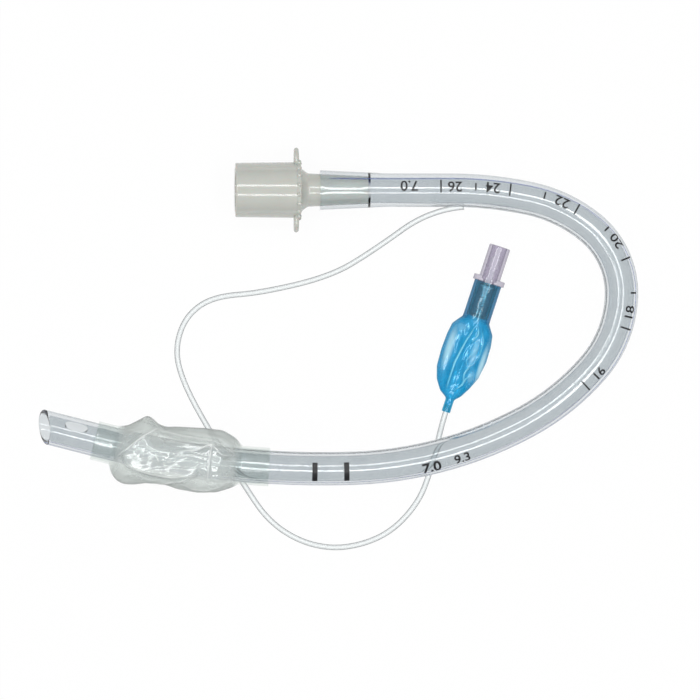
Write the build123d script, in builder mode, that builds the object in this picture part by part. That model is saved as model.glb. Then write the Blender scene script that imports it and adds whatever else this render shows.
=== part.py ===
"""Cuffed endotracheal tube with a 15 mm connector, an inflation line and a pilot balloon.

Millimetres. It lies on the plane Z = 0 as it would on a table, seen from +Z. The curved
tube lies in one plane, which tips a little because the connector's rim and the cuff hold
their ends up while the far bend touches the table.
"""

from build123d import *
import os
from math import acos, asin, atan2, cos, degrees, exp, hypot, pi, radians, sin, tan

os.makedirs("parts", exist_ok=True)

# Tube: size, centreline and ends
tube_bore = 7.0
tube_wall = 1.15
tube_od = tube_bore + 2 * tube_wall
machine_end = (-5.5, 36.5)
arm_length = 36.5
far_bend_radius = 23.5
bend_in_cuff_radius = 250.0
bend_in_cuff_angle = 4.0
tip_length = 16.0
bevel_off_square = 27.0
bevel_roll = 41.0
tip_edge_radius = 0.45
eye_length = 6.5
eye_width = 4.4
eye_from_tip = 8.6
channel_bore = 0.7

# Stretched end of the tube over the connector's nipple
mouth_wall = 1.0
stretch_relief = 6.0
mouth_step = 0.6

# Connector
cone_mouth_d = 15.1
cone_taper = 1 / 40
cone_length = 16.2
cone_bore = 12.4
cone_edge_radius = 0.45
flange_thickness = 1.5
rim_d = 16.4
rim_thickness = 1.1
rim_on_flange = 0.6
bead_d = 1.1
bead_count = 18
bead_proud = 0.2
lug_span = 23.6
lug_width = 6.4
shoulder_length = 1.95
shoulder_d = 12.2
neck_length = 3.4
nipple_root_d = 9.3
nipple_end_d = 7.8
nipple_length = 13.3
nipple_bore = 6.0
grip_gap = 0.02

# Cuff
film_wall = 0.3
collar_wall = 0.5
bond_gap = 0.03
neck_inset = 0.1
cuff_tip_end = 14.4
film_tip_end = 19.6
film_machine_end = 55.6
cuff_machine_end = 63.4
port_bore = 1.2
film_rest_height = 0.15
film_fullness = 5.55
fold_height = 0.9
fold_width = 15.0
slack_range = 2.0
outline_points = 40

# Inflation line
line_od = 1.5
line_bore = 0.8
notch_gap = 0.04
notch_along = 40.0
line_rest_gap = 0.02
line_arc_share = 0.45

# Pilot balloon
tail_end = (29.5, -25.05, 2.6)
pilot_heading = 18.15
tail_od = 2.4
tail_length = 3.8
pouch_length = 23.1
pouch_width = 13.1
pouch_wall = 0.35
neck_overlap = 0.8
crease_height = 0.9
crease_width = 14.0
sleeve_od = 7.7
sleeve_length = 10.85
socket_gap = 0.05
line_insertion = 2.0

# Inflation valve
barrel_od = 5.95
barrel_length = 9.2
luer_bore = 4.26
valve_flange_d = 8.9
valve_flange_thickness = 1.4
chamber_od = 6.0
chamber_bore = 4.6
valve_edge_radius = 0.3
chamber_length = 10.0
seat_thickness = 0.9
seat_below_flange = 0.2
seat_bore = 3.3
plunger_block_width = 3.1
plunger_block_height = 3.4
plunger_stem_d = 1.6
plunger_foot_d = 2.1
plunger_disc_d = 3.75
plunger_disc_height = 0.8
plunger_foot_rise = 0.9
plunger_tip_height = 2.7
plunger_tip_d = 1.9
plunger_stem_length = 2.6
plunger_block_chamfer = 0.4
plunger_flutes = 4
plunger_flute_d = 0.9
guide_d = 1.2
guide_length = 2.2
seal_od = 4.2
seal_thickness = 0.7
seal_gap = 0.02
retainer_thickness = 0.9
retainer_vents = 3
retainer_vent_d = 0.5
spring_od = 2.4
spring_wire = 0.3
spring_coils = 7
fit_gap = 0.05


# Curved tube: each bend's share of the far bend's radius and its angle, then plane and centreline
bends_before_cuff = [
    (far_bend_radius * share, angle)
    for share, angle in (
        (4.468, 12),
        (1.702, 27),
        (1, 53),
        (1.362, 39),
        (2.851, 21),
        (4.638, 26),
        (10.638, 12.3),
    )
]


def furthest_reach():
    """The arm's length plus how far the bends reach before they turn back."""
    reach = arm_length
    heading = 0
    for radius, angle in bends_before_cuff:
        turn = max(0, min(angle, 90 - heading))
        reach += radius * (sin(radians(heading + turn)) - sin(radians(heading)))
        heading += angle
    return reach


rim_from_tube = neck_length + shoulder_length + rim_thickness / 2
rim_rest_radius = rim_d / 2 + bead_proud
lever = furthest_reach() + rim_from_tube
tilt = acos(tube_od / 2 / hypot(rim_rest_radius, lever)) - atan2(lever, rim_rest_radius)
start_height = tube_od / 2 + furthest_reach() * sin(tilt)
tube_plane = Plane(
    origin=(*machine_end, start_height),
    x_dir=(cos(tilt), 0, -sin(tilt)),
    z_dir=(sin(tilt), 0, cos(tilt)),
)
stretched_length = nipple_length + stretch_relief

bevel_reach = tube_od / 2 * tan(radians(bevel_off_square))

with BuildLine(tube_plane) as channel_route:
    arc = JernArc((arm_length, 0), (1, 0), bends_before_cuff[0][0], -bends_before_cuff[0][1])
    for radius, angle in bends_before_cuff[1:]:
        arc = JernArc(arc @ 1, arc % 1, radius, -angle)

with BuildLine(tube_plane) as tip_route:
    arc = JernArc(
        channel_route.line @ 1,
        channel_route.line % 1,
        bend_in_cuff_radius,
        -bend_in_cuff_angle,
    )
    Line(arc @ 1, arc @ 1 + (arc % 1) * (tip_length + bevel_reach))

with BuildLine(tube_plane) as tube_route:
    Line((stretched_length, 0), (arm_length, 0))
    add(channel_route.line)
    add(tip_route.line)

centreline = tube_route.wire()
tip_heading = centreline % 1
tip_centre = centreline @ 1 - tip_heading * bevel_reach


def across_tube(from_tip):
    """Plane square to the tube at a distance from its tip: X up, Y to the concave side."""
    along = centreline.length - bevel_reach - from_tip
    return Plane(
        origin=centreline.position_at(along, position_mode=PositionMode.LENGTH),
        x_dir=tube_plane.z_dir,
        z_dir=centreline.tangent_at(along, position_mode=PositionMode.LENGTH),
    )


# Inflation line: its route, from the notch in the tube to the tail of the pilot balloon
line_height = line_od / 2 + line_rest_gap
notch_exit = tube_plane.from_local_coords((notch_along, -tube_od / 2, 0))
line_points = [
    tuple(notch_exit),
    (25.1, 31.1, 6.1),
    (9.5, 19.9, 2.4),
    (-2.4, 12.7, line_height),
    (-21.6, 8.1, line_height),
    (-35.2, 7.0, line_height),
    (-42.4, 2.1, line_height),
    (-45.6, -5.7, line_height),
    (-44.9, -13.7, line_height),
    (-39.1, -25.9, line_height),
    (-26.3, -46.1, line_height),
    (-20.2, -55.1, line_height),
    (-11.9, -60.9, line_height),
    (-2.4, -63.3, line_height),
    (7.0, -61.9, line_height),
    (15.1, -57.9, line_height),
    (22.0, -50.1, line_height),
    (25.2, -41.8, line_height),
    (27.4, -32.9, line_height),
    (28.76, -27.25, 2.48),
]
pilot_rise = asin((valve_flange_d / 2 - tail_end[2]) / (tail_length + pouch_length + sleeve_length))
pilot_axis = Vector(
    sin(radians(pilot_heading)) * cos(pilot_rise),
    cos(radians(pilot_heading)) * cos(pilot_rise),
    sin(pilot_rise),
)
line_points.append(tuple(Vector(tail_end) + pilot_axis * line_insertion))


def arc_radii(points):
    """One radius for each corner: a fixed share of its shorter run as tangent length."""
    radii = []
    for before, corner, after in zip(points, points[1:], points[2:]):
        run_in = Vector(corner) - Vector(before)
        run_out = Vector(after) - Vector(corner)
        half_turn = radians(run_in.get_angle(run_out)) / 2
        radii.append(line_arc_share * min(run_in.length, run_out.length) / tan(half_turn))
    return radii


line_radii = arc_radii(line_points)
with BuildLine() as line_route:
    FilletPolyline(*line_points, radius=line_radii)
line_path = line_route.wire()
line_start = Plane(origin=line_path @ 0, z_dir=line_path % 0)

with BuildPart() as inflation_line:
    with BuildSketch(line_start):
        Circle(line_od / 2)
        Circle(line_bore / 2, mode=Mode.SUBTRACT)
    sweep(path=line_path)
inflation_line.part.label = "inflation_line"

line_section = pi * (line_od**2 - line_bore**2) / 4
print("inflation line length", round(line_path.length, 2))
print("inflation line radii", [round(radius, 1) for radius in line_radii])
print("volume over section times length", inflation_line.part.volume / line_section / line_path.length)

# Tube shaft: swept wall, stretched machine end, channel, port, notch, bevel and side eye
nipple_root_r = nipple_root_d / 2
nipple_taper = (nipple_root_d - nipple_end_d) / 2 / (neck_length + nipple_length)
mouth_bore_r = nipple_root_r - nipple_taper * neck_length + grip_gap
nipple_seat_r = nipple_end_d / 2 + grip_gap
machine_section = Plane(
    origin=tube_plane.origin, x_dir=tube_plane.x_dir, z_dir=-tube_plane.y_dir
)
channel_r = tube_bore / 2 + tube_wall / 2
channel_path = channel_route.wire()
port_plane = across_tube(bend_in_cuff_radius * radians(bend_in_cuff_angle) + tip_length)
bevel_up = tube_plane.z_dir
bevel_out = tip_heading.cross(tube_plane.z_dir)
bevel_side = bevel_up * cos(radians(bevel_roll)) - bevel_out * sin(radians(bevel_roll))
bevel_normal = tip_heading * cos(radians(bevel_off_square)) + bevel_side * sin(radians(bevel_off_square))
eye_centre = tip_centre - tip_heading * eye_from_tip
eye_plane = Plane(origin=eye_centre, x_dir=tip_heading, z_dir=-bevel_side)
notch_axis = Vector(line_points[1]) - Vector(line_points[0])

with BuildPart() as tube_shaft:
    with BuildSketch(Plane(origin=centreline @ 0, x_dir=tube_plane.z_dir, z_dir=centreline % 0)):
        Circle(tube_od / 2)
        Circle(tube_bore / 2, mode=Mode.SUBTRACT)
    sweep(path=centreline)
    with BuildSketch(machine_section):
        with BuildLine():
            Polyline(
                (nipple_length, nipple_seat_r),
                (0, mouth_bore_r),
                (0, mouth_bore_r + mouth_wall),
                (nipple_length, nipple_seat_r + mouth_wall),
            )
            Spline(
                (nipple_length, nipple_seat_r + mouth_wall),
                (stretched_length, tube_od / 2),
                tangents=[(1, -nipple_taper), (1, 0)],
            )
            Line((stretched_length, tube_od / 2), (stretched_length, tube_bore / 2))
            Line((stretched_length, tube_bore / 2), (nipple_length + mouth_step, tube_bore / 2))
            Line((nipple_length + mouth_step, tube_bore / 2), (nipple_length, nipple_seat_r))
        make_face()
    revolve(axis=Axis(tube_plane.origin, tube_plane.x_dir))
    with BuildSketch(Plane(origin=channel_path @ 0, x_dir=tube_plane.z_dir, z_dir=channel_path % 0)):
        with Locations((0, channel_r)):
            Circle(channel_bore / 2)
    sweep(path=channel_path, mode=Mode.SUBTRACT)
    with BuildSketch(Plane(origin=port_plane.origin, x_dir=port_plane.z_dir, z_dir=port_plane.y_dir)):
        Circle(port_bore / 2)
    extrude(amount=tube_od, mode=Mode.SUBTRACT)
    with BuildSketch(Plane(origin=line_points[0], z_dir=notch_axis)):
        Circle(line_od / 2 + notch_gap)
    extrude(amount=notch_axis.length, mode=Mode.SUBTRACT)
    with BuildSketch(eye_plane):
        SlotOverall(eye_length, eye_width)
    extrude(amount=tube_od, mode=Mode.SUBTRACT)
    split(bisect_by=Plane(origin=tip_centre, z_dir=bevel_normal), keep=Keep.BOTTOM)
    fillet(faces().sort_by(Axis(tip_centre, bevel_normal))[-1].edges(), radius=tip_edge_radius)
tube_shaft.part.label = "tube_shaft"

# Connector: revolved body on the tube's axis, flange with two lugs and a beaded rim
cone_root_r = (cone_mouth_d + cone_length * cone_taper) / 2
rim_face = -(neck_length + shoulder_length)
cone_face = rim_face - rim_thickness - flange_thickness + rim_on_flange
mouth_face = cone_face - cone_length
neck_bore_r = nipple_bore / 2
connector_axis = Axis(tube_plane.origin, tube_plane.x_dir)
flange_plane = Plane(
    origin=tube_plane.from_local_coords((cone_face, 0, 0)),
    x_dir=tube_plane.y_dir,
    z_dir=tube_plane.x_dir,
)

with BuildPart() as circuit_connector:
    with BuildSketch(machine_section):
        with BuildLine():
            Polyline(
                (mouth_face, cone_bore / 2),
                (mouth_face, cone_mouth_d / 2),
                (cone_face, cone_root_r),
                (rim_face - rim_thickness, cone_root_r),
                (rim_face - rim_thickness, rim_d / 2),
                (rim_face, rim_d / 2),
                (rim_face, shoulder_d / 2),
                (rim_face + shoulder_length, nipple_root_r),
                (nipple_length, nipple_end_d / 2),
                (nipple_length, neck_bore_r),
                (rim_face + shoulder_length, neck_bore_r),
                (cone_face, cone_bore / 2),
                close=True,
            )
        make_face()
    revolve(axis=connector_axis)
    fillet(edges().group_by(connector_axis)[0], radius=cone_edge_radius)
    with BuildSketch(flange_plane):
        SlotOverall(lug_span, lug_width)
        Circle(cone_bore / 2 + cone_edge_radius, mode=Mode.SUBTRACT)
    extrude(amount=flange_thickness)
    with BuildSketch(flange_plane.offset(rim_face - rim_thickness - cone_face)):
        with PolarLocations(rim_d / 2 + bead_proud - bead_d / 2, bead_count):
            Circle(bead_d / 2)
    extrude(amount=rim_thickness)
circuit_connector.part.label = "circuit_connector"

# Cuff: share of the film's length, then its rise up, to the concave side, down and outwards
collar_r = tube_od / 2 + collar_wall
film_neck_r = collar_r - neck_inset
film_length = film_machine_end - film_tip_end
film_shape = [
    (0, 0, 0, 0, 0),
    (0.033, 0.17, 0.05, 0.24, 0.57),
    (0.083, 0.35, 0.15, 0.57, 0.89),
    (0.144, 0.48, 0.46, 0.78, 1.00),
    (0.258, 0.60, 0.93, 0.86, 0.84),
    (0.386, 0.51, 0.57, 0.82, 0.59),
    (0.539, 0.59, 0.75, 0.60, 0.71),
    (0.692, 0.64, 0.87, 0.35, 0.75),
    (0.831, 0.55, 0.86, 0.26, 0.68),
    (0.939, 0.26, 0.51, 0.12, 0.33),
    (1, 0, 0, 0, 0),
]
film_folds = [
    (0.02, 0.50, -28, 58, 1.0),
    (0.05, 0.75, -52, -38, 0.9),
    (0.08, 0.70, -82, -66, -0.8),
    (0.45, 1.00, -70, -85, 0.6),
    (0.35, 1.00, 54, 66, 0.6),
    (0.30, 1.00, 26, 40, -0.6),
    (0.50, 0.95, 4, 20, 0.7),
    (0.05, 0.40, 100, 84, -0.7),
    (0.05, 0.95, 150, 140, 0.7),
    (0.10, 0.95, 205, 215, 0.7),
    (0.20, 0.90, 180, 175, -0.6),
]


def fold_rise(folds, share, angle):
    """Sum of the folds: each a bell across its course, which fades out at both its ends."""
    rise = 0
    for start, end, first, last, height in folds:
        along = min(1, max(0, (share - start) / (end - start)))
        gap = (degrees(angle) - first - (last - first) * along + 180) % 360 - 180
        rise += height * fold_height * sin(pi * along) * exp(-((gap / fold_width) ** 2))
    return rise


def film_outline(station, shrink):
    """Closed section of the film: four radii blended by the squares of sine and cosine."""
    share, up, concave, down, convex = station
    from_tip = film_tip_end + share * film_length
    plane = across_tube(from_tip)
    drop = (plane.origin.Z - film_rest_height - shrink) / cos(tilt)
    outline = []
    for step in range(outline_points):
        angle = 2 * pi * step / outline_points
        vertical = up if cos(angle) > 0 else down
        sideways = concave if sin(angle) > 0 else convex
        fullness = vertical * cos(angle) ** 2 + sideways * sin(angle) ** 2
        radius = film_neck_r + film_fullness * fullness
        slack = max(0, min(1, (radius - collar_r) / slack_range))
        radius += slack * fold_rise(film_folds, share, angle) - shrink
        outline.append((max(-drop, radius * cos(angle)), radius * sin(angle)))
    with BuildSketch(plane) as section:
        with BuildLine():
            Spline(*outline, periodic=True)
        make_face()
    return section.sketch


def tube_stretch(near_tip, far_from_tip):
    """The tube's centreline between two distances from its tip, within the cuff's bend."""
    far = across_tube(far_from_tip)
    with BuildLine() as stretch:
        TangentArc(far.origin, across_tube(max(near_tip, tip_length)).origin, tangent=far.z_dir)
        if near_tip < tip_length:
            Line(across_tube(tip_length).origin, across_tube(near_tip).origin)
    return stretch.wire()


with BuildPart() as cuff:
    loft(sections=[film_outline(station, 0) for station in film_shape])
    loft(
        sections=[film_outline(station, film_wall) for station in film_shape],
        mode=Mode.SUBTRACT,
    )
    for near_tip, far_from_tip in (
        (cuff_tip_end, film_tip_end + collar_wall),
        (film_machine_end - collar_wall, cuff_machine_end),
    ):
        with BuildSketch(across_tube(far_from_tip)):
            Circle(collar_r)
            Circle(tube_od / 2 + bond_gap, mode=Mode.SUBTRACT)
        sweep(path=tube_stretch(near_tip, far_from_tip))
cuff.part.label = "cuff"

# Pilot balloon: share of the pouch's length, then of its half widths and half thickness
pouch_shape = [
    (0.061, 0.52, 0.40, 0.42),
    (0.182, 0.81, 0.64, 0.57),
    (0.333, 0.98, 0.87, 0.73),
    (0.550, 1.02, 0.98, 0.83),
    (0.745, 0.99, 0.96, 0.91),
    (0.879, 0.92, 0.88, 0.96),
    (0.957, 0.72, 0.69, 0.99),
]
pouch_creases = [
    (0.15, 1.00, 118, 84, 1.0),
    (0.45, 1.00, 40, 72, 0.7),
    (0.20, 0.75, 60, 96, 0.6),
    (0.10, 0.55, 40, 75, 0.6),
    (0.30, 0.95, 152, 150, -0.7),
    (0.20, 0.95, -120, -90, 0.7),
    (0.30, 1.00, -50, -75, 0.6),
]
pouch_stations = [(0, tail_length, *[tail_od / 2 - neck_inset] * 3)]
for share, left, right, thickness in pouch_shape:
    from_tail = tail_length + share * pouch_length
    half_widths = (left * pouch_width / 2, right * pouch_width / 2)
    pouch_stations.append((share, from_tail, *half_widths, thickness * sleeve_od / 2))
pouch_stations.append((1, tail_length + pouch_length, *[sleeve_od / 2 - neck_inset] * 3))
pilot_across = Vector(cos(radians(pilot_heading)), -sin(radians(pilot_heading)), 0)


def across_pilot(from_tail):
    """Plane square to the pilot balloon's axis: X to the right, Y down to the table."""
    return Plane(
        origin=Vector(tail_end) + pilot_axis * from_tail, x_dir=pilot_across, z_dir=pilot_axis
    )


def crease_rise(share, angle):
    """Sum of the creases at an angle from the right-hand edge towards the top."""
    rise = 0
    for start, end, first, last, height in pouch_creases:
        along = min(1, max(0, (share - start) / (end - start)))
        gap = (degrees(angle) - first - (last - first) * along + 180) % 360 - 180
        rise += height * sin(pi * along) * exp(-((gap / crease_width) ** 2))
    return rise


def pouch_outline(station, shrink):
    """Closed flattened section with lengthwise creases that fade towards both necks."""
    share, from_tail, left, right, half_thickness = station
    plane = across_pilot(from_tail)
    drop = (plane.origin.Z - film_rest_height - shrink) / cos(pilot_rise)
    slack = max(0, min(1, (left - sleeve_od / 2) / slack_range))
    outline = []
    for step in range(outline_points):
        angle = 2 * pi * step / outline_points
        half_width = right if cos(angle) > 0 else left
        crease = slack * crease_height * crease_rise(share, -angle)
        across = (half_width - shrink) * cos(angle)
        outline.append((across, min(drop, (half_thickness + crease - shrink) * sin(angle))))
    with BuildSketch(plane) as section:
        with BuildLine():
            Spline(*outline, periodic=True)
        make_face()
    return section.sketch


sleeve_start = tail_length + pouch_length
sleeve_end = sleeve_start + sleeve_length

with BuildPart() as pilot_balloon:
    loft(sections=[pouch_outline(station, 0) for station in pouch_stations])
    loft(
        sections=[pouch_outline(station, pouch_wall) for station in pouch_stations],
        mode=Mode.SUBTRACT,
    )
    with BuildSketch(across_pilot(0)):
        Circle(tail_od / 2)
        Circle(line_od / 2 + socket_gap, mode=Mode.SUBTRACT)
    extrude(amount=line_insertion + socket_gap)
    with BuildSketch(across_pilot(line_insertion + socket_gap)):
        Circle(tail_od / 2)
        Circle(line_bore / 2, mode=Mode.SUBTRACT)
    extrude(amount=tail_length + neck_overlap - line_insertion)
    with BuildSketch(across_pilot(sleeve_start - neck_overlap)):
        Circle(sleeve_od / 2)
        Circle(chamber_od / 2 + socket_gap, mode=Mode.SUBTRACT)
    extrude(amount=sleeve_length + neck_overlap)
pilot_balloon.part.label = "pilot_balloon"

# Inflation valve: everything turns about the pilot axis and is measured from the tail
valve_axis = Axis(tail_end, pilot_axis)
valve_section = Plane(origin=tail_end, x_dir=pilot_axis, z_dir=pilot_across)
flange_top = sleeve_end + valve_flange_thickness
barrel_top = flange_top + barrel_length
chamber_foot = sleeve_end - chamber_length
seat_face = sleeve_end - seat_below_flange
seat_top = seat_face + seat_thickness

with BuildPart() as valve_body:
    with BuildSketch(valve_section):
        with BuildLine():
            Polyline(
                (chamber_foot, chamber_bore / 2),
                (chamber_foot, chamber_od / 2),
                (sleeve_end, chamber_od / 2),
                (sleeve_end, valve_flange_d / 2),
                (flange_top, valve_flange_d / 2),
                (flange_top, barrel_od / 2),
                (barrel_top, barrel_od / 2),
                (barrel_top, luer_bore / 2),
                (seat_top, luer_bore / 2),
                (seat_top, seat_bore / 2),
                (seat_face, seat_bore / 2),
                (seat_face, chamber_bore / 2),
                close=True,
            )
        make_face()
    revolve(axis=valve_axis)
    rims = edges().group_by(valve_axis)
    fillet(rims[-1], radius=valve_edge_radius)
valve_body.part.label = "valve_body"

disc_top = seat_face - seal_gap - seal_thickness
disc_foot = disc_top - plunger_disc_height
stem_foot = seat_top + plunger_foot_rise
block_foot = stem_foot + plunger_stem_length
block_top = block_foot + plunger_block_height

with BuildPart() as valve_plunger:
    with BuildSketch(valve_section):
        with BuildLine():
            Polyline(
                (disc_foot - guide_length, 0),
                (disc_foot - guide_length, guide_d / 2),
                (disc_foot, guide_d / 2),
                (disc_foot, spring_od / 2 + fit_gap),
                (disc_top, plunger_disc_d / 2),
                (disc_top, plunger_foot_d / 2),
                (stem_foot, plunger_foot_d / 2),
                (stem_foot, plunger_stem_d / 2),
                (block_foot, plunger_stem_d / 2),
                (block_foot, plunger_block_width / 2),
                (block_top - plunger_block_chamfer, plunger_block_width / 2),
                (block_top, plunger_block_width / 2 - plunger_block_chamfer),
                (block_top, plunger_tip_d / 2),
                (block_top + plunger_tip_height, plunger_tip_d / 4),
                (block_top + plunger_tip_height, 0),
                close=True,
            )
        make_face()
    revolve(axis=valve_axis)
    with BuildSketch(across_pilot(block_foot)):
        with PolarLocations(plunger_block_width / 2, plunger_flutes):
            Circle(plunger_flute_d / 2)
    extrude(amount=plunger_block_height, mode=Mode.SUBTRACT)
valve_plunger.part.label = "valve_plunger"

with BuildPart() as valve_seal:
    with BuildSketch(across_pilot(disc_top)):
        Circle(seal_od / 2)
        Circle(plunger_foot_d / 2 + seal_gap, mode=Mode.SUBTRACT)
    extrude(amount=seal_thickness)
valve_seal.part.label = "valve_seal"

with BuildPart() as valve_retainer:
    with BuildSketch(across_pilot(chamber_foot)):
        Circle(chamber_bore / 2 - fit_gap)
        Circle(line_bore / 2, mode=Mode.SUBTRACT)
        with PolarLocations((spring_od + chamber_bore) / 4, retainer_vents):
            Circle(retainer_vent_d / 2, mode=Mode.SUBTRACT)
    extrude(amount=retainer_thickness)
valve_retainer.part.label = "valve_retainer"

spring_foot = chamber_foot + retainer_thickness + fit_gap + spring_wire / 2
spring_height = disc_foot - fit_gap - spring_wire / 2 - spring_foot
spring_mean_r = (spring_od - spring_wire) / 2

with BuildPart() as valve_spring:
    with BuildLine():
        coil = Helix(
            pitch=spring_height / spring_coils,
            height=spring_height,
            radius=spring_mean_r,
            center=across_pilot(spring_foot).origin,
            direction=pilot_axis,
        )
    with BuildSketch(Plane(origin=coil @ 0, z_dir=coil % 0)):
        Circle(spring_wire / 2)
    sweep(path=coil, is_frenet=True)
valve_spring.part.label = "valve_spring"

finished = [
    tube_shaft,
    cuff,
    circuit_connector,
    inflation_line,
    pilot_balloon,
    valve_body,
    valve_plunger,
    valve_seal,
    valve_retainer,
    valve_spring,
]
for piece in finished:
    export_step(piece.part, "parts/" + piece.part.label + ".step")
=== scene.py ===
"""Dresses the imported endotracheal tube: clear PVC tube, creased cuff and pilot balloon, hose and print.

Everything is in metres in the row frame. Sizes are written in millimetres and turned once.
"""

import logging
from dataclasses import dataclass, field
from enum import Enum
from math import cos, pi, radians, sin
from typing import Any

import bmesh
import bpy
import numpy as np
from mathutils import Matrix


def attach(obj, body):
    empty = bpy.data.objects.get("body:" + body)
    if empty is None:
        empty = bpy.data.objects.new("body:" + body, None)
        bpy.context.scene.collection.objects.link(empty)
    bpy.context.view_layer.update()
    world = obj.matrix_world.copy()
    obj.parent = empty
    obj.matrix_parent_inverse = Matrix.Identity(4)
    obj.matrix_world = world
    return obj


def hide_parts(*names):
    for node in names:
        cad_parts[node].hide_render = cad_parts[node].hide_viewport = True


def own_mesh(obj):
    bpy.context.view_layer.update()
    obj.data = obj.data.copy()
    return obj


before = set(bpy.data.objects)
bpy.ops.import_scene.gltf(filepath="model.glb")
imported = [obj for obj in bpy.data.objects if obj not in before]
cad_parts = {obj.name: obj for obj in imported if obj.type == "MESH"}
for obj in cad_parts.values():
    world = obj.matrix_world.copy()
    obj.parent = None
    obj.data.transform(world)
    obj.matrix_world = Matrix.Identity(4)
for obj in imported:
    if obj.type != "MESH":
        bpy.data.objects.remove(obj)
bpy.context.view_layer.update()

MM = 0.001
LOG = logging.getLogger("endotracheal_tube")


# Small tools
def srgb(code: str) -> tuple[float, float, float, float]:
    """Turns an sRGB hex colour into linear light.

    Args:
        code: six hex digits, red first.

    Returns:
        Linear red, green, blue and an alpha of 1.
    """
    parts = np.array([int(code[i : i + 2], 16) for i in (0, 2, 4)]) / 255
    linear = np.where(parts <= 0.04045, parts / 12.92, ((parts + 0.055) / 1.055) ** 2.4)
    return (float(linear[0]), float(linear[1]), float(linear[2]), 1.0)


def add_node(
    tree: bpy.types.NodeTree,
    kind: str,
    settings: dict[str, Any] | None = None,
    values: dict[str | int, Any] | None = None,
    links: dict[str | int, Any] | None = None,
) -> bpy.types.Node:
    """Adds one node with its settings, socket values and links.

    Args:
        tree: the material's node tree.
        kind: Blender's node type name.
        settings: attributes of the node.
        values: input sockets set to a constant.
        links: input sockets fed by another node's output socket.

    Returns:
        The new node.
    """
    node = tree.nodes.new(kind)
    for name, value in (settings or {}).items():
        setattr(node, name, value)
    for name, value in (values or {}).items():
        node.inputs[name].default_value = value
    for name, output in (links or {}).items():
        tree.links.new(output, node.inputs[name])
    return node


def grid_object(
    name: str,
    points: np.ndarray,
    wrap_rows: bool = False,
    wrap_columns: bool = False,
    film: np.ndarray | None = None,
) -> bpy.types.Object:
    """Makes a mesh object from a grid of points, one quad between each four neighbours.

    The UV map holds the row share and the column share. A side that isn't wrapped stays open.

    Args:
        name: the piece's name.
        points: rows by columns by 3, in metres.
        wrap_rows: the last row joins the first.
        wrap_columns: the last column joins the first.
        film: rows by columns by 3 shares for a film's finish: painted crest highlights, painted patches
            (shade on the cuff, highlight on the balloon) and veil.

    Returns:
        The object, linked to the scene, smooth shaded.
    """
    rows, columns = points.shape[:2]
    index = np.arange(rows * columns).reshape(rows, columns)
    if wrap_rows:
        index = np.concatenate([index, index[:1]], axis=0)
    if wrap_columns:
        index = np.concatenate([index, index[:, :1]], axis=1)
    corners = [index[:-1, :-1], index[:-1, 1:], index[1:, 1:], index[1:, :-1]]
    faces = np.stack(corners, axis=-1).reshape(-1, 4)
    across = np.arange(index.shape[1]) / (index.shape[1] - 1)
    along = np.arange(index.shape[0]) / (index.shape[0] - 1)
    share = np.stack(np.meshgrid(along, across, indexing="ij"), axis=-1)
    quads = [share[:-1, :-1], share[:-1, 1:], share[1:, 1:], share[1:, :-1]]
    mesh = bpy.data.meshes.new(name)
    mesh.vertices.add(rows * columns)
    mesh.vertices.foreach_set("co", points.reshape(-1).astype(np.float32))
    mesh.loops.add(faces.size)
    mesh.loops.foreach_set("vertex_index", faces.reshape(-1).astype(np.int32))
    mesh.polygons.add(len(faces))
    mesh.polygons.foreach_set("loop_start", np.arange(0, faces.size, 4, dtype=np.int32))
    mesh.update(calc_edges=True)
    mesh.polygons.foreach_set("use_smooth", np.ones(len(faces), dtype=bool))
    layer = mesh.uv_layers.new(name="surface")
    layer.data.foreach_set("uv", np.stack(quads, axis=2).reshape(-1).astype(np.float32))
    if film is not None:
        shares = np.concatenate([film, np.ones(film.shape[:2] + (1,))], axis=-1)
        mask = mesh.attributes.new("film", "FLOAT_COLOR", "POINT")
        mask.data.foreach_set("color", shares.reshape(-1).astype(np.float32))
    mesh.validate()
    body = bpy.data.objects.new(name, mesh)
    bpy.context.scene.collection.objects.link(body)
    return body


def mesh_points(mesh: bpy.types.Mesh) -> np.ndarray:
    """The mesh's points as an array with one row each."""
    flat = np.zeros(len(mesh.vertices) * 3, np.float32)
    mesh.vertices.foreach_get("co", flat)
    return flat.reshape(-1, 3).astype(float)


def smooth_steps(value: np.ndarray, low: float, high: float) -> np.ndarray:
    """Rises from 0 at low to 1 at high along 3t squared minus 2t cubed."""
    share = np.clip((value - low) / (high - low), 0, 1)
    return share * share * (3 - 2 * share)


def smooth_course(knots: tuple[tuple[float, float], ...], at: np.ndarray, reach: float) -> np.ndarray:
    """A line through knots, averaged over a reach each way so that its corners are round.

    Args:
        knots: place and value pairs, by rising place.
        at: the places asked for.
        reach: how far each way the line is averaged.

    Returns:
        The values, in the shape of at.
    """
    table = np.array(knots, float)
    steps = np.linspace(-reach, reach, 9)
    weights = 1.2 - np.abs(steps) / reach
    lines = [weight * np.interp(at + step, table[:, 0], table[:, 1]) for step, weight in zip(steps, weights)]
    return np.sum(lines, axis=0) / weights.sum()


def unit(vectors: np.ndarray) -> np.ndarray:
    """Divides each vector by its length."""
    return vectors / np.linalg.norm(vectors, axis=-1, keepdims=True)


# Finishes
def start_material(
    name: str, scale: tuple[float, float, float], turn: float = 0.0
) -> tuple[bpy.types.Material, bpy.types.NodeSocket]:
    """An empty material whose pattern lies on object coordinates, stretched and turned.

    Args:
        name: the material's name.
        scale: the pattern's scale along each axis; below 1 it is drawn out.
        turn: its turn about the vertical, in degrees.

    Returns:
        The material and the pattern's coordinates.
    """
    material = bpy.data.materials.new(name)
    material.use_nodes = True
    tree = material.node_tree
    tree.nodes.clear()
    place = add_node(tree, "ShaderNodeTexCoord")
    turned = add_node(
        tree,
        "ShaderNodeMapping",
        values={"Scale": scale, "Rotation": (0.0, 0.0, radians(turn))},
        links={"Vector": place.outputs["Object"]},
    )
    return material, turned.outputs["Vector"]


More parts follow.
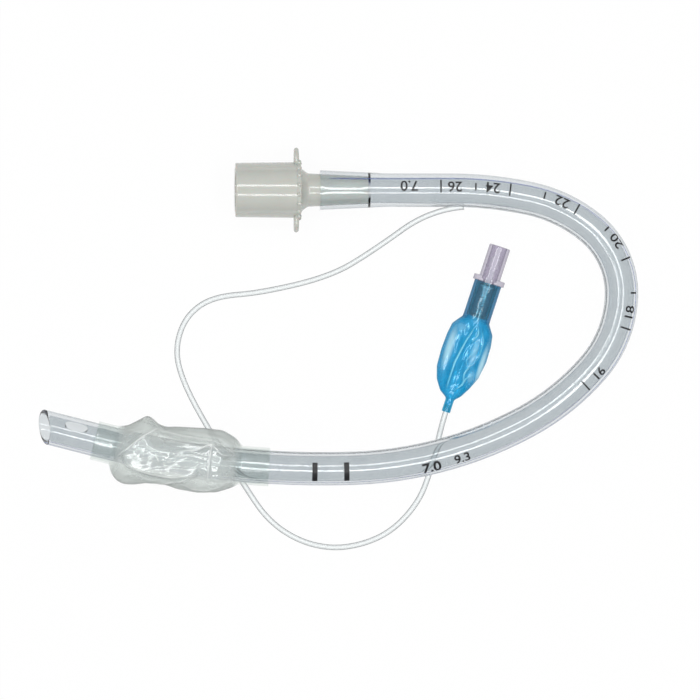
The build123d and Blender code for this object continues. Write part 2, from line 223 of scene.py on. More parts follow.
def let_lamps_through(
    tree: bpy.types.NodeTree, surface: bpy.types.NodeSocket, share: float, colour: str
) -> bpy.types.NodeSocket:
    """Lets a share of each lamp's light straight through, so that what lies inside is lit.

    Args:
        tree: the material's node tree.
        surface: the shader that every other ray meets.
        share: how much of a shadow ray passes.
        colour: what passing does to its colour, in sRGB hex.

    Returns:
        The mixed shader.
    """
    ray = add_node(tree, "ShaderNodeLightPath")
    passing = add_node(
        tree,
        "ShaderNodeMath",
        settings={"operation": "MULTIPLY"},
        values={1: share},
        links={0: ray.outputs["Is Shadow Ray"]},
    )
    open_way = add_node(tree, "ShaderNodeBsdfTransparent", values={"Color": srgb(colour)})
    both = add_node(
        tree,
        "ShaderNodeMixShader",
        links={0: passing.outputs[0], 1: surface, 2: open_way.outputs[0]},
    )
    return both.outputs[0]


# Where a clear wall's rim colour starts and is full, from 0 face on to 1 edge on
RIM_STARTS = 0.42
RIM_FULL = 0.82


class Pattern(Enum):
    """What a finish's fine relief looks like."""

    MOULDED = "moulded"
    EXTRUDED = "extruded"


@dataclass(frozen=True)
class Finish:
    """One material: what it is made of, how its surface was made and its optical values."""

    name: str
    slot: str
    colour: str
    shade: str
    roughness: float
    pattern: Pattern = Pattern.MOULDED
    grain_mm: float = 2.0
    relief: float = 0.05
    ior: float = 1.5
    metallic: float = 0.0
    transmission: float = 0.0
    alpha: float = 1.0
    specular: float = 0.5
    scatter: float = 0.0
    lamps_through: float = 0.0
    rim: str = ""
    grain_depth_mm: float = 0.1
    scatter_mm: float = 1.5

    def build(self) -> bpy.types.Material:
        """Makes the material: two tones mixed by noise, a bump from the same noise.

        The noise is sized from grain_mm in object space. A clear wall turns to the rim
        colour where it is seen nearly edge on.

        Returns:
            The material.
        """
        stretch = (1.0, 1.0, 0.6) if self.pattern is Pattern.EXTRUDED else (1.0, 1.0, 1.0)
        material, place = start_material(self.name, stretch)
        tree = material.node_tree
        noise = add_node(
            tree,
            "ShaderNodeTexNoise",
            values={"Scale": 1 / (self.grain_mm * MM), "Detail": 3.0, "Roughness": 0.5},
            links={"Vector": place},
        )
        tone = add_node(
            tree,
            "ShaderNodeMix",
            settings={"data_type": "RGBA"},
            values={6: srgb(self.colour), 7: srgb(self.shade)},
            links={0: noise.outputs["Fac"]},
        )
        if self.rim:
            slant = add_node(tree, "ShaderNodeLayerWeight", values={"Blend": 0.5})
            edge_on = add_node(
                tree,
                "ShaderNodeMapRange",
                settings={"interpolation_type": "SMOOTHSTEP"},
                values={"From Min": RIM_STARTS, "From Max": RIM_FULL},
                links={"Value": slant.outputs["Facing"]},
            )
            tone = add_node(
                tree,
                "ShaderNodeMix",
                settings={"data_type": "RGBA"},
                values={7: srgb(self.rim)},
                links={0: edge_on.outputs["Result"], 6: tone.outputs[2]},
            )
        bump = add_node(
            tree,
            "ShaderNodeBump",
            values={"Strength": self.relief, "Distance": self.grain_depth_mm * MM},
            links={"Height": noise.outputs["Fac"]},
        )
        surface = add_node(
            tree,
            "ShaderNodeBsdfPrincipled",
            values={
                "Roughness": self.roughness,
                "IOR": self.ior,
                "Metallic": self.metallic,
                "Transmission Weight": self.transmission,
                "Alpha": self.alpha,
                "Specular IOR Level": self.specular,
                "Subsurface Weight": self.scatter,
                "Subsurface Scale": self.scatter_mm * MM,
            },
            links={"Base Color": tone.outputs[2], "Normal": bump.outputs["Normal"]},
        )
        outcome = surface.outputs["BSDF"]
        if self.lamps_through > 0:
            outcome = let_lamps_through(tree, outcome, self.lamps_through, "F8FAFB")
        add_node(tree, "ShaderNodeOutputMaterial", links={"Surface": outcome})
        return material


@dataclass(frozen=True)
class FilmFinish:
    """A clear thin wall: tinted see-through body, a veil that thickens edge on, gloss on top.

    The piece's "film" attribute holds three shares: painted crest highlights, painted patches
    (shade on the cuff, highlight on the balloon) and how much of the veil there is. Bonded film, with no air
    behind it, has hardly any.
    """

    name: str
    slot: str
    tint: str
    veil: str
    edge: str
    # crest and patch are painted colours: crest paints highlights on crease crests; patch paints shade on the
    # cuff and highlights on the balloon.
    crest: str
    patch: str
    veil_share: float
    edge_share: float
    crest_highlight_share: float = 0.85
    painted_patch_share: float = 0.5
    roughness: float = 0.12
    ior: float = 1.6
    crease_mm: float = 5.0
    crease_relief: float = 0.35
    stretch: tuple[float, float, float] = (0.35, 1.0, 1.0)
    turn: float = 0.0
    rim_mirror: float = 0.5
    rim_breadth: float = 0.35
    masked: bool = True
    firm_tint: str = ""
    lamps_through: float = 0.8
    crease_breadth: float = 0.16
    crease_depth_mm: float = 0.25

    def build(self) -> bpy.types.Material:
        """Makes the film: a see-through body, a veil, and gloss over both.

        The veil's share rises with the slant, and the mirrored share with the slant's fifth
        power. The edges of stretched cells are its fine creases, as relief alone.

        Returns:
            The material.
        """
        material, place = start_material(self.name, self.stretch, self.turn)
        tree = material.node_tree
        cells = add_node(
            tree,
            "ShaderNodeTexVoronoi",
            settings={"feature": "DISTANCE_TO_EDGE"},
            values={"Scale": 1 / (self.crease_mm * MM)},
            links={"Vector": place},
        )
        ridge = add_node(
            tree,
            "ShaderNodeMapRange",
            settings={"interpolation_type": "SMOOTHSTEP"},
            values={"From Max": self.crease_breadth, "To Min": 1.0, "To Max": 0.0},
            links={"Value": cells.outputs["Distance"]},
        )
        bump = add_node(
            tree,
            "ShaderNodeBump",
            values={"Strength": self.crease_relief, "Distance": self.crease_depth_mm * MM},
            links={"Height": ridge.outputs["Result"]},
        )
        relief = {"Normal": bump.outputs["Normal"]}
        mask = add_node(tree, "ShaderNodeAttribute", settings={"attribute_name": "film"})
        shares = add_node(tree, "ShaderNodeSeparateColor", links={"Color": mask.outputs["Color"]})
        facing = add_node(tree, "ShaderNodeLayerWeight", values={"Blend": self.rim_breadth})
        colour = add_node(
            tree,
            "ShaderNodeMix",
            settings={"data_type": "RGBA"},
            values={6: srgb(self.veil), 7: srgb(self.edge)},
            links={0: facing.outputs["Facing"]},
        )
        veil = add_node(
            tree,
            "ShaderNodeMapRange",
            values={"To Min": self.veil_share, "To Max": self.edge_share},
            links={"Value": facing.outputs["Facing"]},
        )
        if self.masked:
            veil = add_node(
                tree,
                "ShaderNodeMath",
                settings={"operation": "MULTIPLY"},
                links={0: veil.outputs[0], 1: shares.outputs["Blue"]},
            )
        # The green share paints the patch colour, shade on the cuff and highlight on the balloon; the red
        # share paints crest highlights; both thicken the veil.
        for channel, tone, strength in (
            ("Green", self.patch, self.painted_patch_share),
            ("Red", self.crest, self.crest_highlight_share),
        ):
            colour = add_node(
                tree,
                "ShaderNodeMix",
                settings={"data_type": "RGBA"},
                values={7: srgb(tone)},
                links={0: shares.outputs[channel], 6: colour.outputs[2]},
            )
            mark = add_node(
                tree,
                "ShaderNodeMath",
                settings={"operation": "MULTIPLY"},
                values={1: strength},
                links={0: shares.outputs[channel]},
            )
            veil = add_node(
                tree,
                "ShaderNodeMath",
                settings={"operation": "MAXIMUM"},
                links={0: veil.outputs[0], 1: mark.outputs[0]},
            )
        body = add_node(tree, "ShaderNodeBsdfDiffuse", links={"Color": colour.outputs[2], **relief})
        clear = add_node(tree, "ShaderNodeBsdfTransparent", values={"Color": srgb(self.tint)})
        if self.firm_tint:
            tint = add_node(
                tree,
                "ShaderNodeMix",
                settings={"data_type": "RGBA"},
                values={6: srgb(self.firm_tint), 7: srgb(self.tint)},
                links={0: shares.outputs["Blue"]},
            )
            tree.links.new(tint.outputs[2], clear.inputs["Color"])
        inner = add_node(
            tree,
            "ShaderNodeMixShader",
            links={0: veil.outputs[0], 1: clear.outputs[0], 2: body.outputs[0]},
        )
        gloss = add_node(
            tree,
            "ShaderNodeBsdfGlossy",
            values={"Color": (1, 1, 1, 1), "Roughness": self.roughness},
            links=relief,
        )
        slant = add_node(tree, "ShaderNodeLayerWeight", values={"Blend": 0.5}, links=relief)
        power = add_node(
            tree,
            "ShaderNodeMath",
            settings={"operation": "POWER"},
            values={1: 5.0},
            links={0: slant.outputs["Facing"]},
        )
        face_on = ((self.ior - 1) / (self.ior + 1)) ** 2
        mirror = add_node(
            tree,
            "ShaderNodeMapRange",
            values={"To Min": face_on, "To Max": self.rim_mirror},
            links={"Value": power.outputs[0]},
        )
        whole = add_node(
            tree,
            "ShaderNodeMixShader",
            links={0: mirror.outputs[0], 1: inner.outputs[0], 2: gloss.outputs[0]},
        )
        outcome = let_lamps_through(tree, whole.outputs[0], self.lamps_through, "FAFCFD")
        add_node(tree, "ShaderNodeOutputMaterial", links={"Surface": outcome})
        return material


# Extruded plasticised PVC: clear, slightly blue grey in the wall, wet-looking gloss.
CLEAR_PVC = Finish(
    "clear PVC, extruded", "clear_tube", "E0E4E6", "D8DDE0", 0.03,
    pattern=Pattern.EXTRUDED, grain_mm=5.0, relief=0.14, ior=1.53, transmission=1.0, specular=0.9,
    lamps_through=0.97, rim="98A1A8",
)
# The thin hose is the same PVC without the grey of a thick wall: clear, with dark edges.
CLEAR_HOSE = FilmFinish(
    "clear PVC, thin extruded", "clear_line", tint="FBFCFC", veil="E6E9EA", edge="5E6466",
    crest="FFFFFF", patch="FFFFFF", veil_share=0.0, edge_share=0.95, roughness=0.3, ior=1.4,
    crease_relief=0.0, rim_mirror=0.05, rim_breadth=0.66, lamps_through=0.9,
)
# Blow-moulded cuff film: clear with a milky veil, glossy; a white highlight is painted along each crease's
# crest and grey shade beside it.
CUFF_FILM = FilmFinish(
    "polyurethane film, blown", "cuff_film", tint="F8FAF9", veil="E9ECE9", edge="7F8784",
    crest="FFFFFF", patch="8F9795", veil_share=0.27, edge_share=0.7, crest_highlight_share=0.85, painted_patch_share=0.4,
    roughness=0.16, ior=1.6, crease_mm=3.2, crease_relief=0.3, stretch=(0.2, 1.0, 1.0), rim_mirror=0.3,
    lamps_through=0.78,
)
# Tinted blow-moulded pouch: clear cyan, deeper edge on, with pale patches and crest lines painted as
# highlights.
BLUE_FILM = FilmFinish(
    "tinted PVC film, blown", "blue_film", tint="7FE3F4", veil="0E9ACC", edge="075C8C",
    crest="9BE8F8", patch="BCE6F3", veil_share=0.15, edge_share=0.9, crest_highlight_share=0.85, painted_patch_share=0.85,
    roughness=0.1, ior=1.55, crease_mm=4.5, crease_relief=0.3, stretch=(1.0, 0.35, 1.0), turn=18.0,
    rim_mirror=0.25, firm_tint="C4F1FA", lamps_through=0.93,
)
# Injection-moulded polypropylene: translucent greyish white with a soft gloss.
WHITE_PP = Finish(
    "polypropylene, moulded", "white_connector", "C4C6BF", "BBBDB6", 0.12,
    grain_mm=3.0, relief=0.16, ior=1.49, specular=0.8, scatter=0.15,
)
# Injection-moulded styrenic plastic: clear with a lilac tint.
LILAC = FilmFinish(
    "clear styrenic plastic, moulded", "lilac_clear", tint="EFECF2", veil="A9A5B6", edge="5C586E",
    crest="FFFFFF", patch="FFFFFF", veil_share=0.1, edge_share=0.55, roughness=0.08, ior=1.57,
    crease_relief=0.0, rim_mirror=0.3, masked=False, lamps_through=0.97,
)
# Injection-moulded acetal: opaque, nearly pure white, with a satin sheen.
WHITE_ACETAL = Finish(
    "acetal, moulded", "white_plunger", "F4F4F5", "ECECEE", 0.35, grain_mm=1.0, relief=0.05, ior=1.48
)
# Moulded nitrile rubber: nearly black and dull, with a faint broad highlight.
DARK_RUBBER = Finish(
    "nitrile rubber, moulded", "dark_seal", "1B1C20", "24262B", 0.55, grain_mm=0.6, relief=0.1
)
# Moulded black polypropylene: dark blue grey with a satin sheen.
DARK_PLASTIC = Finish(
    "polypropylene, black, moulded", "grey_retainer", "25303A", "2C3944", 0.4, grain_mm=0.8
)
# Drawn stainless wire: pale metal whose reflections are blurred.
SPRING_WIRE = Finish(
    "stainless wire, drawn", "spring_steel", "EDEFF2", "DFE2E6", 0.4, grain_mm=0.5, metallic=1.0
)
# Pad-printed ink: an even near black with a soft sheen.
BLACK_INK = Finish(
    "printing ink, pad printed", "clear_tube", "0C0D10", "15161A", 0.35, grain_mm=0.5, relief=0.1
)
# Radiopaque PVC drawn into the clear wall: violet blue, half see-through.
BLUE_STRIPE = Finish(
    "radiopaque PVC, co-extruded", "clear_tube", "7C8CCB", "7483C4", 0.3, grain_mm=2.0, alpha=0.44
)


def dress(piece: bpy.types.Object, material: bpy.types.Material, body: str) -> None:
    """Gives a new piece its finish and the body it rides on."""
    piece.data.materials.clear()
    piece.data.materials.append(material)
    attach(piece, body)
    LOG.info("%s rides on %s", piece.name, body)


# The tube's centreline
@dataclass
class TubeRoute:
    """The curved tube's centreline, a straight arm and tangent arcs in one tilted plane."""

    start_mm: tuple[float, float, float] = (-5.5, 36.5, 8.1468)
    tilt: float = 2.3887
    arm: float = 36.5
    bends: tuple[tuple[float, float], ...] = (
        (105, 12), (40, 27), (23.5, 53), (32, 39), (67, 21), (109, 26), (250, 12.3), (250, 4),
    )  # fmt: skip
    tip_length: float = 16.0
    od: float = 9.3

    @property
    def length(self) -> float:
        """The centreline's length from the machine end to the tip's centre, in mm."""
        return self.arm + sum(r * radians(a) for r, a in self.bends) + self.tip_length

    @property
    def axes(self) -> tuple[np.ndarray, np.ndarray, np.ndarray]:
        """The tilted plane's directions: down the straight arm, to its left and up."""
        tilt = radians(self.tilt)
        ahead = np.array([cos(tilt), 0, -sin(tilt)])
        return ahead, np.array([0.0, 1.0, 0.0]), np.array([sin(tilt), 0, cos(tilt)])

    def frames(self, along: np.ndarray) -> tuple[np.ndarray, np.ndarray, np.ndarray, np.ndarray]:
        """Centre, tangent, up and concave side at distances from the machine end.

        On a straight run the heading stays; on an arc of radius r it turns by distance over r,
        and the centre moves by r times the change of the heading's sine and cosine.

        Args:
            along: distances in mm, any shape.

        Returns:
            Four arrays with a last axis of 3, the centre in mm.
        """
        along = np.asarray(along, float)
        runs = [(self.arm, 0.0)] + [(r * radians(a), 1 / r) for r, a in self.bends]
        runs.append((self.tip_length + 10, 0.0))
        flat = np.zeros(along.shape + (2,))
        heading = np.zeros(along.shape)
        corner, turned, done = np.zeros(2), 0.0, 0.0
        for number, (length, bend) in enumerate(runs):
            inside = (along >= done) | (number == 0)
            travel = np.where(inside, along - done, 0)
            now = turned - travel * bend
            if bend:
                step = np.stack([np.sin(turned) - np.sin(now), np.cos(now) - np.cos(turned)], -1) / bend
            else:
                step = np.stack([np.cos(turned) * travel, np.sin(turned) * travel], -1)
            flat = np.where(inside[..., None], corner + step, flat)
            heading = np.where(inside, now, heading)
            end = turned - length * bend
            if bend:
                corner = corner + np.array([sin(turned) - sin(end), cos(end) - cos(turned)]) / bend
            else:
                corner = corner + length * np.array([cos(turned), sin(turned)])
            turned, done = end, done + length
        ahead, left, above = self.axes
        centre = np.array(self.start_mm) + flat[..., :1] * ahead + flat[..., 1:] * left
        tangent = np.cos(heading)[..., None] * ahead + np.sin(heading)[..., None] * left
        up = np.broadcast_to(above, centre.shape)
        return centre, tangent, up, np.cross(tangent, up)

    def wrap(self, along: np.ndarray, angle: np.ndarray, radius: np.ndarray | float) -> np.ndarray:
        """Points on the tube at an angle from its top towards the concave side, in metres.

        Args:
            along: distance from the machine end in mm.
            angle: angle in radians.
            radius: distance from the centreline in mm.

        Returns:
            The points, with a last axis of 3.
        """
        centre, _, up, side = self.frames(along)
        reach = np.broadcast_to(np.asarray(radius, float), np.shape(along))[..., None]
        return (centre + reach * (np.cos(angle)[..., None] * up + np.sin(angle)[..., None] * side)) * MM


ROUTE = TubeRoute()


# Print on the tube
@dataclass
class TubePrint:
    """Depth marks, cuff bands and size numbers printed on the tube, and the blue stripe in its wall."""

    ink_radius: float = 4.665
    long_tick: float = 3.7
    short_tick: float = 2.1
    tick_width: float = 0.42
    band_width: float = 1.45
    long_ticks: tuple[tuple[float, float], ...] = (
        (126.1, -1.8), (107.5, -2.5), (89.5, -2.9), (71.3, -2.0), (52.5, -1.4), (33.4, -1.1),
    )  # fmt: skip
    short_ticks: tuple[tuple[float, float], ...] = ((98.2, -3.1), (80.6, -2.7), (62.0, -1.8), (43.0, -1.1))
    numbers: tuple[tuple[str, float, float, float, float], ...] = (
        ("16", 121.0, -2.0, 2.7, 0.07), ("18", 103.1, -2.45, 2.9, 0.07), ("20", 84.5, -2.75, 2.9, 0.07),
        ("22", 66.9, -1.8, 3.0, 0.07), ("24", 47.7, -1.25, 3.0, 0.07), ("26", 37.3, -0.95, 3.0, 0.07),
        ("7.0", 24.6, -1.15, 3.0, 0.07), ("7.0", 173.9, -2.55, 3.3, 0.17), ("9.3", 165.3, -2.3, 2.8, 0.1),
    )  # fmt: skip
    bands: tuple[float, ...] = (206.0, 197.2)
    band_arc: tuple[float, float] = (-46.0, 22.0)
    stripe_radius: float = 4.3
    stripe_width: float = 0.38
    stripe_course: tuple[tuple[float, float], ...] = (
        (0, -42), (50, -46), (80, -52), (110, -60), (140, -70), (180, -78),
        (210, -80), (250, -78), (286, -72),
    )  # fmt: skip

    def patch(self, name: str, centre: float, angle: float, width: float, arc: float) -> bpy.types.Object:
        """A thin printed mark: a grid width long and arc round, wrapped on the tube."""
        along = centre + np.linspace(-width / 2, width / 2, 5)
        round_it = angle + np.linspace(-arc / 2, arc / 2, 25)
        rows, columns = np.meshgrid(round_it, along, indexing="ij")
        return grid_object(name, ROUTE.wrap(columns, rows, self.ink_radius))

    def number(self, text: str, at: float, offset: float, height: float, bold: float) -> bpy.types.Object:
        """One number: a flat text mesh cut every 0.4 mm, then rolled round the tube.

        A point's distance across the text becomes an angle, distance over radius, and its
        distance along the text a distance down the tube.

        Args:
            text: the digits.
            at: the number's middle, from the machine end in mm.
            offset: its middle from the tube's top line in mm, towards the concave side.
            height: digit height in mm.
            bold: how much the strokes are widened, in mm.

        Returns:
            The number as a mesh object.
        """
        curve = bpy.data.curves.new("digits", "FONT")
        curve.body = text
        curve.size = 1.0
        curve.offset = bold / height * 0.5
        lettering = bpy.data.objects.new("digits", curve)
        bpy.context.scene.collection.objects.link(lettering)
        bpy.context.view_layer.update()
        graph = bpy.context.evaluated_depsgraph_get()
        mesh = bpy.data.meshes.new_from_object(lettering.evaluated_get(graph))
        bpy.data.objects.remove(lettering)
        flat = mesh_points(mesh)
        low, high = flat.min(0), flat.max(0)
        flat = (flat - (low + high) / 2) * height / (high[1] - low[1])
        mesh.vertices.foreach_set("co", flat.reshape(-1).astype(np.float32))
        work = bmesh.new()
        work.from_mesh(mesh)
        reach = np.abs(flat).max(0)
        for axis in (0, 1):
            for cut in np.arange(-reach[axis], reach[axis], 0.4):
                place, normal = [0.0, 0.0, 0.0], [0.0, 0.0, 0.0]
                place[axis], normal[axis] = float(cut), 1.0
                parts = work.verts[:] + work.edges[:] + work.faces[:]
                bmesh.ops.bisect_plane(work, geom=parts, plane_co=place, plane_no=normal)
        bmesh.ops.triangulate(work, faces=work.faces[:])
        work.to_mesh(mesh)
        work.free()
        flat = mesh_points(mesh)
        angle = np.arcsin(offset / (ROUTE.od / 2)) + flat[:, 1] / (ROUTE.od / 2)
        rolled = ROUTE.wrap(at - flat[:, 0], angle, self.ink_radius)
        mesh.vertices.foreach_set("co", rolled.reshape(-1).astype(np.float32))
        mesh.update()
        piece = bpy.data.objects.new("number", mesh)
        bpy.context.scene.collection.objects.link(piece)
        return piece

    def stripe(self) -> bpy.types.Object:
        """The blue stripe: a flat oval section carried down the wall along its course."""
        along = np.linspace(2.0, ROUTE.length - 1.0, 420)
        course = np.array(self.stripe_course, float)
        turn = np.radians(np.interp(along, course[:, 0], course[:, 1]))
        section = np.linspace(0, 2 * pi, 12, endpoint=False)
        half = self.stripe_width / 2 / self.stripe_radius
        angle = turn[:, None] + half * np.cos(section)[None, :]
        radius = self.stripe_radius + 0.08 * np.sin(section)[None, :] + 0 * angle
        return grid_object(
            "blue_xray_stripe", ROUTE.wrap(along[:, None] + 0 * angle, angle, radius), wrap_columns=True
        )

    def build(self, body: str) -> None:
        """Makes every mark, joins the print to one piece, and puts it and the stripe on the tube."""
        marks = []
        top = ROUTE.od / 2
        for places, long in ((self.long_ticks, self.long_tick), (self.short_ticks, self.short_tick)):
            for at, offset in places:
                marks.append(self.patch("tick", at, np.arcsin(offset / top), self.tick_width, long / top))
        low, high = (radians(a) for a in self.band_arc)
        for at in self.bands:
            marks.append(self.patch("band", at, (low + high) / 2, self.band_width, high - low))
        for text, at, offset, height, bold in self.numbers:
            marks.append(self.number(text, at, offset, height, bold))
        print_piece = join_pieces("tube_print", marks)
        dress(print_piece, BLACK_INK.build(), body)
        stripe = self.stripe()
        dress(stripe, BLUE_STRIPE.build(), body)


def join_pieces(name: str, pieces: list[bpy.types.Object]) -> bpy.types.Object:
    """Joins several mesh objects at the origin into one with that name."""
    work = bmesh.new()
    for piece in pieces:
        work.from_mesh(piece.data)
        bpy.data.objects.remove(piece)
    mesh = bpy.data.meshes.new(name)
    work.to_mesh(mesh)
    work.free()
    joined = bpy.data.objects.new(name, mesh)
    bpy.context.scene.collection.objects.link(joined)
    return joined


# Cuff
@dataclass(frozen=True)
class Fold:
    """One crease of the film: its course over the tube, seen from above, and its size.

    Attributes:
        course: distance from the tip and offset from the centreline, positive to the concave side.
        height: how far its crest stands above the film, in mm.
        widths: how far it reaches to the convex and to the concave side, in mm.
        line: how strongly a highlight is painted along its crest, from 0 to 1.
        shade: how strongly shade is painted on the film beside it, on the convex side.
        above: True for a fold on the upper side, False for one underneath.
        painted_highlight_breadth: how broad the highlight painted on the crest is, in mm.
        painted_shade_at: how far beside the crest the painted shade is darkest, in mm.
        painted_shade_breadth: how broad the painted shade is, in mm.
    """

    course: tuple[tuple[float, float], ...]
    height: float
    widths: tuple[float, float] = (1.2, 1.2)
    line: float = 0.6
    shade: float = 0.0
    above: bool = True
    painted_highlight_breadth: float = 0.24
    painted_shade_at: float = 0.75
    painted_shade_breadth: float = 0.55

    def act(
        self, along: np.ndarray, offset: np.ndarray, upper: np.ndarray
    ) -> tuple[np.ndarray, np.ndarray, np.ndarray]:
        """How the fold lifts the film and where the highlight painted on its crest and the shade painted on
        its flank lie.

        The lift is height times a pointed bell, e to the power of minus the root of the gap
        over the width squared plus a little, and fades to 0 at both ends. The painted
        highlight is a narrow bell on the course and the painted shade a wider one beside it.

        Args:
            along: distance from the tip in mm.
            offset: distance from the centreline seen from above, in mm.
            upper: 1 on the upper side, -1 underneath.

        Returns:
            The lift in mm, the painted highlight's share and the painted shade's share.
        """
        start, end = self.course[0][0], self.course[-1][0]
        share = np.clip((along - start) / (end - start), 0, 1)
        fade = np.sin(pi * share) ** 0.5 * smooth_steps(upper if self.above else -upper, 0.05, 0.35)
        gap = offset - smooth_course(self.course, along, 1.5)
        width = np.where(gap > 0, self.widths[1], self.widths[0])
        bell = np.exp(0.2 - np.sqrt((gap / width) ** 2 + 0.04))
        # Painted highlight along the crest and painted shade on the convex flank.
        crest = self.line * np.exp(-((gap / self.painted_highlight_breadth) ** 2))
        shade = self.shade * np.exp(-(((gap + self.painted_shade_at) / self.painted_shade_breadth) ** 2))
        return self.height * bell * fade, crest * fade, shade * fade


@dataclass
class CuffFilm:
    """The cuff: two bonded collars and the creased film between them, one blown piece."""

    tip_end: float = 14.4
    film_start: float = 19.6
    film_end: float = 55.6
    machine_end: float = 63.4
    collar_radius: float = 5.15
    inner_radius: float = 4.68
    film_wall: float = 0.16
    floor: float = 0.15
    seam_at: float = 47.1
    seam_width: float = 0.4
    seam_height: float = 0.25
    sink: float = 0.45
    wrinkle_height: float = 0.1
    wrinkles: tuple[tuple[float, float, float], ...] = (
        (9, 17, 0.3), (14, 23, 1.7), (21, 31, 4.0), (5, 7.5, 2.2),
    )  # fmt: skip
    rows: int = 200
    columns: int = 244
    stations: tuple[tuple[float, float, float, float, float], ...] = (
        (0, 0, 0, 0, 0), (0.033, 0.95, 0.45, 1.35, 3.0), (0.083, 1.95, 1.4, 3.15, 4.75),
        (0.144, 2.65, 3.1, 4.35, 5.35), (0.215, 3.1, 5.15, 4.6, 5.0), (0.258, 3.35, 4.6, 4.75, 4.5),
        (0.32, 3.0, 3.2, 4.6, 3.75), (0.386, 2.85, 2.9, 4.55, 3.15), (0.46, 3.05, 3.5, 3.9, 3.5),
        (0.539, 3.25, 3.95, 3.35, 4.0), (0.692, 3.55, 4.5, 1.95, 4.25), (0.831, 3.05, 4.3, 1.45, 3.65),
        (0.939, 1.45, 2.65, 0.65, 1.8), (1, 0, 0, 0, 0),
    )  # fmt: skip
    folds: tuple[Fold, ...] = (
        Fold(((20.4, -3.6), (22.5, -1.4), (26.0, 2.6), (29.0, 5.6), (31.5, 7.0)), 1.0, (1.8, 0.9), 0.95, 0.3),
        Fold(
            ((22.6, -1.0), (23.4, -4.2), (26.0, -5.0), (31.0, -5.5), (37.0, -5.2), (44.0, -3.9)),
            1.3, (0.7, 2.6), 0.8, 1.0,
        ),
        Fold(((30.0, 6.6), (33.0, 6.5), (38.0, 5.9), (44.0, 6.0), (52.5, 5.0)), 0.6, (0.8, 1.3), 0.7, 0.4),
        Fold(((33.5, 4.7), (38.0, 4.3), (44.0, 4.6), (50.5, 4.4)), 0.45, (0.7, 0.9), 0.5, 0.5),
        Fold(((36.5, 3.7), (42.0, 3.6), (47.5, 3.9), (51.0, 3.6)), 0.35, (0.5, 0.7), 0.4, 0.4),
        Fold(
            ((35.5, 0.6), (39.0, 2.2), (43.0, 2.7), (46.0, 4.6), (48.0, 3.8), (50.0, 2.0), (53.8, 3.0)),
            0.7, (0.8, 1.4), 0.75, 0.4,
        ),
        Fold(((34.6, -1.9), (37.0, 0.2), (41.0, 1.2), (46.6, 1.0)), 0.4, (0.9, 0.8), 0.55, 0.2),
        Fold(((24.5, 0.4), (27.5, 1.6), (31.5, 1.1), (36.0, -2.4)), 0.35, (1.0, 1.0), 0.25, 0.3),
        Fold(((27.5, -1.3), (30.0, 0.2), (32.5, -1.2)), 0.3, (0.6, 0.8), 0.45, 0.3),
        Fold(((29.5, -9.0), (34.0, -8.0), (38.5, -6.6), (43.5, -4.2)), 0.8, (0.8, 1.4), 0.75, 0.6),
        Fold(((24.6, -7.4), (27.0, -6.4), (31.0, -7.4), (34.0, -7.0)), 0.4, (0.9, 0.9), 0.25, 0.4),
        Fold(((39.0, -7.0), (43.0, -8.2), (47.0, -8.0), (52.8, -5.3)), 0.5, (0.8, 1.2), 0.45, 0.4),
        Fold(((44.0, -7.0), (48.0, -6.2), (54.0, -4.9)), 0.35, (0.8, 0.8), 0.3, 0.3),
        Fold(((25.0, 8.6), (27.6, 9.2), (30.0, 8.2), (32.6, 6.9)), 0.5, (0.9, 0.6), 0.6, 0.3),
        Fold(((21.5, 2.4), (24.0, 4.4), (27.5, 6.0)), 0.35, (0.9, 0.9), 0.3, 0.3),
        Fold(((44.0, 6.9), (49.0, 6.4), (53.4, 3.6)), 0.3, (0.8, 0.7), 0.35, 0.3),
        Fold(((22.0, -4.0), (30.0, -2.0), (41.0, -5.0), (52.0, -2.0)), 1.0, (1.6, 1.2), 0.5, 0.4, False),
        Fold(((23.0, 3.0), (33.0, 5.0), (44.0, 2.5), (53.0, 4.0)), 0.9, (1.2, 1.6), 0.5, 0.4, False),
        Fold(((30.0, 0.5), (38.0, 1.5), (47.0, 0.0)), 0.6, (0.9, 0.9), 0.4, 0.3, False),
    )  # fmt: skip

    def shape(self, along: np.ndarray, turn: np.ndarray) -> tuple[np.ndarray, np.ndarray, np.ndarray]:
        """The film's outer radius, its looseness and the painted highlight and painted shade of its folds.

        The radius blends the four rises of the stations by the squares of the angle's sine
        and cosine. Every fold lifts it, fine wrinkles are a sum of sines along the tube, and
        the welded edge of the bonded zone is a small bead across the film's top near seam_at.

        Args:
            along: distance from the tip in mm.
            turn: angle from the top towards the concave side in radians.

        Returns:
            The radius in mm, the looseness and an array of painted highlight and painted shade shares.
        """
        share = np.clip((along - self.film_start) / (self.film_end - self.film_start), 0, 1)
        table = np.array(self.stations, float)
        rises = [smooth_course(tuple(zip(table[:, 0], table[:, k])), share, 0.03) for k in range(1, 5)]
        upright = np.where(np.cos(turn) > 0, rises[0], rises[2])
        sideways = np.where(np.sin(turn) > 0, rises[1], rises[3])
        rise = upright * np.cos(turn) ** 2 + sideways * np.sin(turn) ** 2
        slack = smooth_steps(along, self.film_start, self.film_start + 3)
        slack = slack * (1 - smooth_steps(along, self.film_end - 3, self.film_end))
        offset = (self.collar_radius + rise) * np.sin(turn)
        lifted, crest, shade = np.zeros_like(turn), np.zeros_like(turn), np.zeros_like(turn)
        for fold in self.folds:
            lift, line, flank = fold.act(along, offset, np.cos(turn))
            lifted, crest, shade = lifted + lift, np.maximum(crest, line), np.maximum(shade, flank)
        seam = np.exp(-(((along - self.seam_at + 0.5 * np.cos(turn)) / self.seam_width) ** 2))
        seam = seam * smooth_steps(np.cos(turn), 0.6, 0.85)
        wrinkle = np.zeros_like(turn)
        for order, (count, pitch, phase) in enumerate(self.wrinkles):
            wrinkle = wrinkle + np.sin(count * turn + along / pitch * 2 * pi + phase) / (order + 1)
        relief = lifted - self.sink + self.wrinkle_height * wrinkle + self.seam_height * seam
        outer = self.collar_radius + rise + slack * relief
